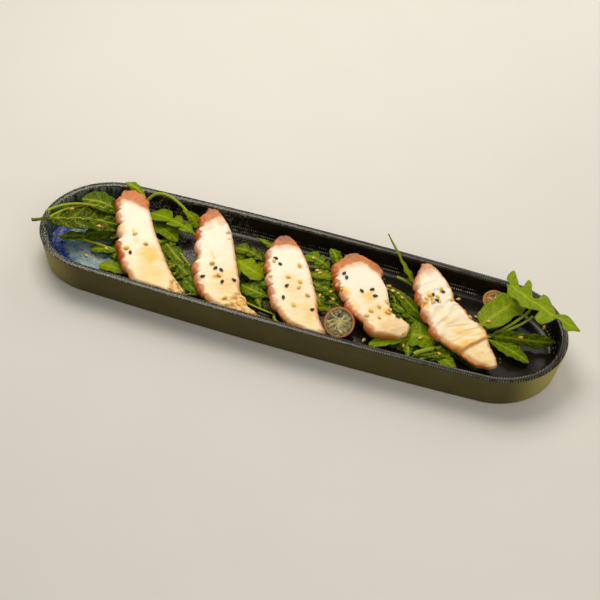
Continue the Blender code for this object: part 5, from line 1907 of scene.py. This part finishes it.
@dataclass(frozen=True)
class RocketBed:
    """The bed of rocket: its low core, painted dark as painted shade, the leaves and stems that
    show, and small filling leaves.

    Each station is (place along the dish, front, back, height) of the core.
    """

    ground: Ground
    stations: tuple = (
        (-131, -10, 4, 10.6), (-112, -25, 20, 10.9), (-96, -25, 2, 10.8),
        (-80, -28, -9, 10.6), (-62, -30, 12, 10.8), (-44, -24, 21, 11.2),
        (-26, -24, 21, 11), (-4, -26, 18, 10.8), (14, -18, 20, 10.9),
        (26, -9, 18, 11), (44, -9, 18, 11.2), (58, -20, 20, 11.2),
        (76, -27, 14, 11), (94, -28, 10, 11), (112, -22, 12, 11.2),
        (130, -6, 14, 10.8),
    )
    bottom: float = 8.7
    shoulder: float = 1.6
    core_steps: int = 90
    # The core's painted tone is the darkest: painted shade for the shadowed leaves under and between the
    # slices
    core_shade_tone: float = 0.05
    cushion_inset: float = 3.0
    cushion_gap: float = 0.7
    cushion_front_limit: float = -34.0
    cushion_stations: int = 30
    filling_leaves: int = 70
    seed: int = 11
    # The filling leaves keep clear of the dish's wall, of the near tomato half and of the bare floor
    wall_inset: float = 9.0
    tomato: tuple = (38.0, -25.0)
    middle_clearance: float = 17.0
    end_clearance: float = 14.0
    bare_from: float = 48.0
    bare_to: float = 76.0
    bare_front: float = -20.0

    def bed_rings(self) -> list[list[Vector]]:
        """Draw the sections of the low bed along the dish.

        Returns:
            The sections' points.
        """
        rings = []
        shoulder = self.bottom + self.shoulder
        for i in range(self.core_steps + 1):
            x = between(self.stations[0][0], self.stations[-1][0], i / self.core_steps)
            front, back, top = (smooth_rows(self.stations, x, column) for column in (1, 2, 3))
            ring = []
            for y, z in (
                (front, self.bottom), (back, self.bottom), (back - 1.0, shoulder),
                *((between(front, back, share), top) for share in (0.75, 0.5, 0.25)), (front + 1.0, shoulder),
            ):
                lift = 0.5 * lumps(x, y, 5.0, 2.0) if z > self.bottom else 0.0
                ring.append(Vector((x, y, self.ground.fitted_height(x, y, z + lift, 0.2))))
            rings.append(ring)
        return rings

    def cushion_rings(self, piece: OctopusSlice) -> list[list[Vector]]:
        """Draw the sections of the leaves that a slice rests on.

        Args:
            piece: the slice.

        Returns:
            The sections' points.
        """
        start, end = piece.start + 2 * self.cushion_inset, piece.end - 2 * self.cushion_inset
        rings = []
        for i in range(self.cushion_stations):
            along = between(start, end, i / (self.cushion_stations - 1))
            left, right = piece.edges_at(along)
            middle, half = (left + right) / 2, (left - right) / 2 - self.cushion_inset
            half *= 1 + 0.08 * lumps(along, 0.0, 4.0, 7.0)
            ring = [piece.point(along, middle + half * side, self.bottom) for side in (1.0, -1.0)]
            for share in (-0.92, -0.4, 0.0, 0.4, 0.92):
                top = piece.height_at(along, share, -1.0) - self.cushion_gap
                ring.append(piece.point(along, middle + half * share, top))
            for point in ring:
                point.y = max(point.y, self.cushion_front_limit)
            rings.append(ring)
        return rings

    def from_tomato(self, x: float, y: float) -> float:
        """Return how far a plan point lies from the near tomato half."""
        return math.hypot(x - self.tomato[0], y - self.tomato[1])

    def is_free(self, x: float, y: float) -> bool:
        """Tell whether the middle of a filling leaf may lie at a plan point.

        Args:
            x: the point's place along the dish.
            y: its place across the dish.

        Returns:
            True if no slice, tomato or bare floor is there.
        """
        covered = self.ground.slice_underside(x, y, 0.0) is not None
        bare = self.bare_from < x < self.bare_to and y < self.bare_front
        return not covered and not bare and self.from_tomato(x, y) >= self.middle_clearance

    def is_clear(self, x: float, y: float) -> bool:
        """Tell whether a filling leaf may end at a plan point."""
        inset = self.ground.dish.inset_at(x, y)
        return inset >= self.wall_inset and self.from_tomato(x, y) >= self.end_clearance

    def filling(self) -> list[Leaf]:
        """Strew small leaves over the bed where no slice or tomato lies, always the same way.

        Returns:
            The leaves.
        """
        dice = random.Random(self.seed)
        found = []
        while len(found) < self.filling_leaves:
            x = dice.uniform(self.stations[0][0] + 6, self.stations[-1][0] - 2)
            front, back = smooth_rows(self.stations, x, 1), smooth_rows(self.stations, x, 2)
            y = dice.uniform(front - 2, back + 2)
            turn, reach = dice.uniform(0, 2 * math.pi), dice.uniform(7.0, 13.0)
            height = dice.uniform(9.8, 11.6)
            kind = dice.choice((OAK, OAK, SPOON, BROAD, BLADE))
            # Filling leaves get dark tones, partly their own deep green and partly painted shade where they
            # lie low between the slices
            width, tone = dice.uniform(2.2, 4.6), dice.uniform(0.0, 0.5)
            roll = dice.uniform(-30, 30)
            step = Vector((math.cos(turn), math.sin(turn))) * reach
            ends = ((x - step.x, y - step.y, height - 1.5), (x + step.x, y + step.y, height - 1.0))
            if self.is_free(x, y) and all(self.is_clear(px, py) for px, py, _ in ends):
                rib = Rib(ends[0], (x, y, height + 1.2), ends[1])
                found.append(Leaf(kind, rib, width, roll, tone=tone, rows=24, columns=3))
        return found

    def build(self, blade: Material, stalk: Material) -> list[bpy.types.Object]:
        """Build the core, the leaves and the stems as three pieces.

        Args:
            blade: the leaf finish.
            stalk: the stem finish.

        Returns:
            The three new objects.
        """
        core, leaves, stems = Piece("rocket_core"), Piece("rocket_leaves"), Piece("rocket_stems")
        for rings in (self.bed_rings(), *(self.cushion_rings(piece) for piece in self.ground.slices)):
            core.add_rings([[core.add_point(point, tone=self.core_shade_tone) for point in ring] for ring in rings])
        for piece, parts in ((leaves, (*LEAVES, *self.filling())), (stems, STEMS)):
            for part in parts:
                part.add_to(piece, self.ground)
        return [
            piece.build([finish], "rocket", "rocket_salad")
            for piece, finish in ((core, blade), (leaves, blade), (stems, stalk))
        ]


# Tomato halves


@dataclass(frozen=True)
class TomatoHalf:
    """A cherry tomato half: its cut face's centre, size and lean, and its fibres.

    Shapes on the cut face are given as shares of its radius. dark_spot is (x, y, radius).
    """

    name: str
    centre: tuple
    radius: float
    depth: float
    lean: float
    heading: float
    flesh: TomatoFlesh
    fibre_angles: tuple
    fibre_width: float = 0.085
    wall_share: float = 0.84
    dark_spot: tuple = (0.0, 0.45, 0.12)
    hollow: float = 0.06
    fibre_height: float = 0.035
    gel_height: float = 0.02
    core_radius: float = 0.03
    face_radius: float = 0.98
    face_rings: int = 26
    skin_rings: int = 20
    sides: int = 96

    def fibre_at(self, radius: float, angle: float) -> float:
        """Paint the pale fibres, each bent and of its own length and width.

        Args:
            radius: share of the cut face's radius.
            angle: angle round its centre.

        Returns:
            How much of a fibre shows there, from 0 to 1.
        """
        best = 0.5 * smooth_step(0.12, 0.02, radius)
        for n, line in enumerate(self.fibre_angles):
            bent = math.radians(line) + 0.36 * lumps(radius, n * 3.7, 0.3)
            off = abs((angle - bent + math.pi) % (2 * math.pi) - math.pi) * max(radius, 0.1)
            length = 0.68 + 0.3 * math.sin(n * 2.3)
            reach = smooth_step(length, length - 0.2, radius) * (0.6 + 0.4 * math.sin(n * 2.1 + radius * 6))
            width = self.fibre_width * (0.42 + 0.2 * math.sin(n * 1.7))
            best = max(best, math.exp(-((off / width) ** 2)) * reach)
        return best

    def face_point(self, radius: float, angle: float) -> tuple[Vector, dict[str, float]]:
        """Shape and paint the cut face.

        Args:
            radius: share of the cut face's radius.
            angle: angle round its centre.

        Returns:
            The point, as shares of the half's size, and its marks.
        """
        fibre = self.fibre_at(radius, angle)
        wall = smooth_step(self.wall_share - 0.05, self.wall_share + 0.03, radius)
        x, y = radius * math.cos(angle), radius * math.sin(angle)
        gel = self.gel_height * lumps(x * 10, y * 10, 2.6, self.radius)
        height = self.hollow * (wall - 1) + self.fibre_height * fibre + gel * (1 - wall)
        spot_x, spot_y, spot = self.dark_spot
        dark = smooth_step(1.3, 0.6, math.hypot(x - spot_x, y - spot_y) / spot)
        skin = smooth_step(0.93, 0.975, radius)
        marks = {"fibre": fibre * (1 - dark), "pulp": wall * 0.8, "dark": dark, "skin": skin}
        return Vector((x, y, height)), marks

    def skin_point(self, down: float, angle: float) -> tuple[Vector, dict[str, float]]:
        """Shape and paint the round skin.

        Args:
            down: angle below the cut face.
            angle: angle round the centre.

        Returns:
            The point, as shares of the half's size, and its marks.
        """
        around = Vector((math.cos(angle), math.sin(angle), 0.0)) * math.cos(down)
        around.z = -self.hollow - (1 - self.hollow) * math.sin(down)
        return around, {"skin": 1.0}

    def build(self) -> bpy.types.Object:
        """Skin the half from the middle of its cut face round to its bottom.

        Returns:
            The new object.
        """
        piece = Piece(self.name + "_cut")
        lean = Matrix.Rotation(math.radians(self.lean), 3, "Y")
        turn = Matrix.Rotation(math.radians(self.heading), 3, "Z") @ lean
        size = Vector((self.radius, self.radius, self.depth))
        rings = []
        for i in range(self.face_rings + self.skin_rings):
            ring = []
            for k in range(self.sides):
                angle = 2 * math.pi * k / self.sides
                if i < self.face_rings:
                    radius = between(self.core_radius, self.face_radius, i / (self.face_rings - 1))
                    unit, marks = self.face_point(radius, angle)
                else:
                    down = math.pi / 2 * (i - self.face_rings) / (self.skin_rings - 0.4)
                    unit, marks = self.skin_point(down, angle)
                ring.append(piece.add_point(Vector(self.centre) + turn @ (unit * size), **marks))
            rings.append(ring)
        piece.add_rings(rings)
        return piece.build([self.flesh.build()], "tomato", self.name)


TOMATO_HALVES = (
    TomatoHalf(
        "tomato_half_1", (38.2, -25.2, 17.8), 10, 7.5, 42, -75,
        TomatoFlesh("cut_tomato_green_gel", "#94832c", "#3d3a10", "#a5802e", "#efe094", "#cf2a18"),
        (4, 15, 26, 37, 46, 61, 73, 86, 99, 113, 124, 139, 149, 162, 178, 190, 204, 217, 231, 242, 252, 264,
         279, 294, 303, 318, 331, 346),
        dark_spot=(-0.45, 0, 0.14),
    ),
    TomatoHalf(
        "tomato_half_2", (127.5, 31.6, 17.4), 7.7, 8.4, 20, -80,
        TomatoFlesh("cut_tomato_amber_gel", "#b58237", "#6b5a1e", "#c2933f", "#e6c577", "#a04218"),
        (20, 48, 75, 98, 120, 146, 170, 201, 230, 257, 280, 304, 330, 352),
        dark_spot=(-0.2, 0.5, 0.22),
    ),
)


# Sesame seeds and dressing


def unit_ball(subdivisions: int) -> tuple[list[Vector], list[tuple]]:
    """Make a ball of radius 1.

    Args:
        subdivisions: how finely it is divided.

    Returns:
        Its points and its faces.
    """
    ball = bmesh.new()
    bmesh.ops.create_icosphere(ball, subdivisions=subdivisions, radius=1.0)
    points = [vert.co.copy() for vert in ball.verts]
    faces = [tuple(vert.index for vert in face.verts) for face in ball.faces]
    ball.free()
    return points, faces


@dataclass(frozen=True)
class SesameSeeds:
    """Sesame seeds of one colour: drop-shaped, each dropped straight down onto what lies there."""

    kind: SeedKind
    spots: tuple
    half_length: float = 1.75
    half_width: float = 1.15
    half_height: float = 0.75
    narrowing: float = 0.42
    sunk: float = 0.2
    first_turn: float = 0.6
    next_turn: float = 2.4
    drop_height: float = 90.0

    def unit_seed(self) -> tuple[list[Vector], list[tuple]]:
        """Shape one seed at the origin, round at one end and drawn in at the other.

        Returns:
            Its points and its faces.
        """
        points, faces = unit_ball(3)
        for point in points:
            narrow = 1 - self.narrowing * smooth_step(-0.3, 1.0, point.x)
            point.x *= self.half_length
            point.y *= self.half_width * narrow
            point.z *= self.half_height * narrow
        return points, faces

    def build(self, under: BVHTree) -> bpy.types.Object:
        """Lay the seeds on the surfaces under them as one piece.

        Args:
            under: the surfaces, in metres.

        Returns:
            The new object.
        """
        piece = Piece(self.kind.value.name + "_seeds")
        for number, (x, y) in enumerate(self.spots):
            hit, slope, _, _ = under.ray_cast(Vector((x, y, self.drop_height)) * MM, DOWN)
            if hit is None:
                continue
            lie = slope.to_track_quat("Z", "Y").to_matrix().to_4x4()
            centre = Matrix.Translation(hit / MM + slope * (self.half_height - self.sunk))
            turn = Matrix.Rotation(number * self.next_turn + self.first_turn, 4, "Z")
            piece.add_copy(self.unit_seed(), centre @ lie @ turn)
        return piece.build([self.kind.value.build()], "octopus")


@dataclass(frozen=True)
class DressingDrops:
    """Oil and lemon dressing standing in round drops on the leaves and the glaze."""

    count: int = 300
    least_radius: float = 0.35
    most_radius: float = 1.1
    height_share: float = 0.4
    half_x: float = 150.0
    half_y: float = 36.0
    drop_height: float = 90.0
    steepest: float = 0.75
    slice_clearance: float = 2.0
    seed: int = 23

    def build(self, under: BVHTree, ground: Ground) -> bpy.types.Object:
        """Lay the drops where the leaves and the glaze are flat enough to hold them, as one piece.

        Args:
            under: the surfaces that they fall on, in metres.
            ground: the slices, which they keep clear of.

        Returns:
            The new object.
        """
        dice = random.Random(self.seed)
        piece = Piece("dressing_drops")
        for _ in range(self.count):
            spot = Vector((dice.uniform(-self.half_x, self.half_x), dice.uniform(-self.half_y, self.half_y)))
            radius = between(self.least_radius, self.most_radius, dice.random() ** 2)
            stretch = dice.uniform(0.75, 1.3)
            hit, slope, _, _ = under.ray_cast(Vector((*spot, self.drop_height)) * MM, DOWN)
            if hit is None or slope.z < self.steepest:
                continue
            if ground.slice_underside(*spot, self.slice_clearance) is not None:
                continue
            lie = slope.to_track_quat("Z", "Y").to_matrix().to_4x4()
            size = Matrix.Diagonal((radius * stretch, radius, radius * self.height_share, 1.0))
            piece.add_copy(unit_ball(2), Matrix.Translation(hit / MM) @ lie @ size)
        return piece.build([OilDressing().build()], "octopus")


LOOSE_TOASTED = (
    (-162, 3), (-141, -0.5), (-131, -11), (4, 26), (12, 17), (24, 3.5), (18, -2),
    (66, 17), (70, 14), (79.5, -19), (90, -17), (104, -24), (128, 12), (150, 5.6),
    (-142.5, -18.5), (-136, -30), (55.5, -26), (104, 33), (119, 21), (163, 26),
    (28, 2), (32, -1), (58.5, 22), (81, -23.5),
)
LOOSE_PALE = ((9.5, 19), (27, -1.5), (57, 25), (40.5, -29), (62, 18))


def spots_on_slices(column: str) -> tuple:
    """Find the plan points of the seeds that lie on the slices.

    Args:
        column: the name of the seeds' row in the slices' table.

    Returns:
        The points (x, y).
    """
    found = []
    for piece in SLICES:
        for along, across in getattr(piece, column):
            spot = piece.point(along, across, 0.0)
            found.append((spot.x, spot.y))
    return tuple(found)


def surfaces_under(pieces: list[bpy.types.Object]) -> BVHTree:
    """Gather the meshes that seeds and drops fall on.

    Args:
        pieces: the objects, each at the origin.

    Returns:
        Their faces, in metres.
    """
    points, faces = [], []
    for piece in pieces:
        first = len(points)
        points += [vert.co.copy() for vert in piece.data.vertices]
        faces += [[first + corner for corner in face.vertices] for face in piece.data.polygons]
    return BVHTree.FromPolygons(points, faces)


# Studio


@dataclass(frozen=True)
class SoftLight:
    """A square studio light: its place, the point that it looks at, its side and its power."""

    name: str
    place: tuple
    target: tuple
    side: float
    watts: float
    colour: str = "#fff6e8"

    def build(self) -> None:
        """Hang the light."""
        lamp = bpy.data.lights.new(self.name, "AREA")
        lamp.size = self.side
        lamp.energy = self.watts
        lamp.color = linear(self.colour)[:3]
        holder = bpy.data.objects.new(self.name, lamp)
        holder.location = self.place
        look = Vector(self.target) - Vector(self.place)
        holder.rotation_euler = look.to_track_quat("-Z", "Y").to_euler()
        bpy.context.scene.collection.objects.link(holder)


@dataclass(frozen=True)
class Studio:
    """The pale floor, the soft lights and the camera, in metres."""

    lights: tuple = (
        SoftLight("key_light", (-0.28, 0.32, 0.75), (0.0, 0.0, 0.0), 0.55, 5.6),
        SoftLight("fill_light", (0.5, -0.55, 0.6), (0.0, 0.0, 0.0), 0.7, 3.3),
        SoftLight("back_light", (0.25, 0.75, 0.4), (0.0, 0.0, 0.02), 0.6, 2.2),
    )
    camera_place: tuple = (0.15447, -0.53482, 0.55013)
    camera_axes: tuple = (
        (0.94709, 0.31709, 0.04967), (-0.25669, 0.65543, 0.71029), (0.19267, -0.68546, 0.70215),
    )
    lens_mm: float = 70.2
    sensor_mm: float = 36.0
    nearest: float = 0.01
    floor_side: float = 6.0
    floor_height: float = -0.0003
    world: str = "#dfe3e6"
    world_strength: float = 0.25

    def lay_floor(self) -> None:
        """Lay a square floor just under the dish and give it to the stage."""
        half = self.floor_side / 2
        corners = [(x * half, y * half, self.floor_height) for x, y in ((-1, -1), (1, -1), (1, 1), (-1, 1))]
        mesh = bpy.data.meshes.new("studio_floor")
        mesh.from_pydata(corners, [], [(0, 1, 2, 3)])
        mesh.materials.append(PlainFloor().build())
        floor = bpy.data.objects.new("studio_floor", mesh)
        bpy.context.scene.collection.objects.link(floor)
        floor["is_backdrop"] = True

    def fill_with_light(self) -> None:
        """Give the room a dim, even light."""
        world = bpy.data.worlds.new("studio")
        world.use_nodes = True
        sky = world.node_tree.nodes["Background"]
        sky.inputs["Color"].default_value = linear(self.world)
        sky.inputs["Strength"].default_value = self.world_strength
        bpy.context.scene.world = world

    def set_camera(self) -> None:
        """Stand the camera in its place and show colours as they are."""
        bpy.context.scene.view_settings.view_transform = "Standard"
        lens = bpy.data.cameras.new("camera")
        lens.lens = self.lens_mm
        lens.sensor_width = self.sensor_mm
        lens.clip_start = self.nearest
        camera = bpy.data.objects.new("camera", lens)
        turn = Matrix(self.camera_axes).transposed()
        camera.matrix_world = Matrix.Translation(self.camera_place) @ turn.to_4x4()
        bpy.context.scene.collection.objects.link(camera)
        bpy.context.scene.camera = camera

    def build(self) -> None:
        """Lay the floor, hang the lights and set the camera."""
        self.lay_floor()
        for light in self.lights:
            light.build()
        self.fill_with_light()
        self.set_camera()


def write_sizes() -> None:
    """Write the CAD model's box and the dressed model's box."""
    boxes = {"cad": CAD_BOX, "visual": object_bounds()}
    plain = {name: [list(low), list(high)] for name, (low, high) in boxes.items()}
    log.info("sizes: %s", plain)


def main() -> None:
    """Dress the dish and all that is in it, then light it."""
    logging.basicConfig(level=logging.INFO, format="%(name)s: %(message)s")
    dish = StonewareDish()
    ground = Ground(dish, SLICES)
    pieces = [dish.build(RawStoneware().build(), ReactiveGlaze().build())]
    flesh = CookedOctopus().build()
    pieces += [piece.build(flesh) for piece in SLICES]
    pieces += RocketBed(ground).build(RocketLeaf().build(), RocketStem().build())
    pieces += [half.build() for half in TOMATO_HALVES]
    under = surfaces_under(pieces)
    SesameSeeds(SeedKind.BLACK, spots_on_slices("black_seeds")).build(under)
    SesameSeeds(SeedKind.TOASTED, spots_on_slices("toasted_seeds") + LOOSE_TOASTED).build(under)
    SesameSeeds(SeedKind.PALE, spots_on_slices("pale_seeds") + LOOSE_PALE).build(under)
    DressingDrops().build(under, ground)
    Studio().build()
    write_sizes()


if __name__ == "__main__":
    main()
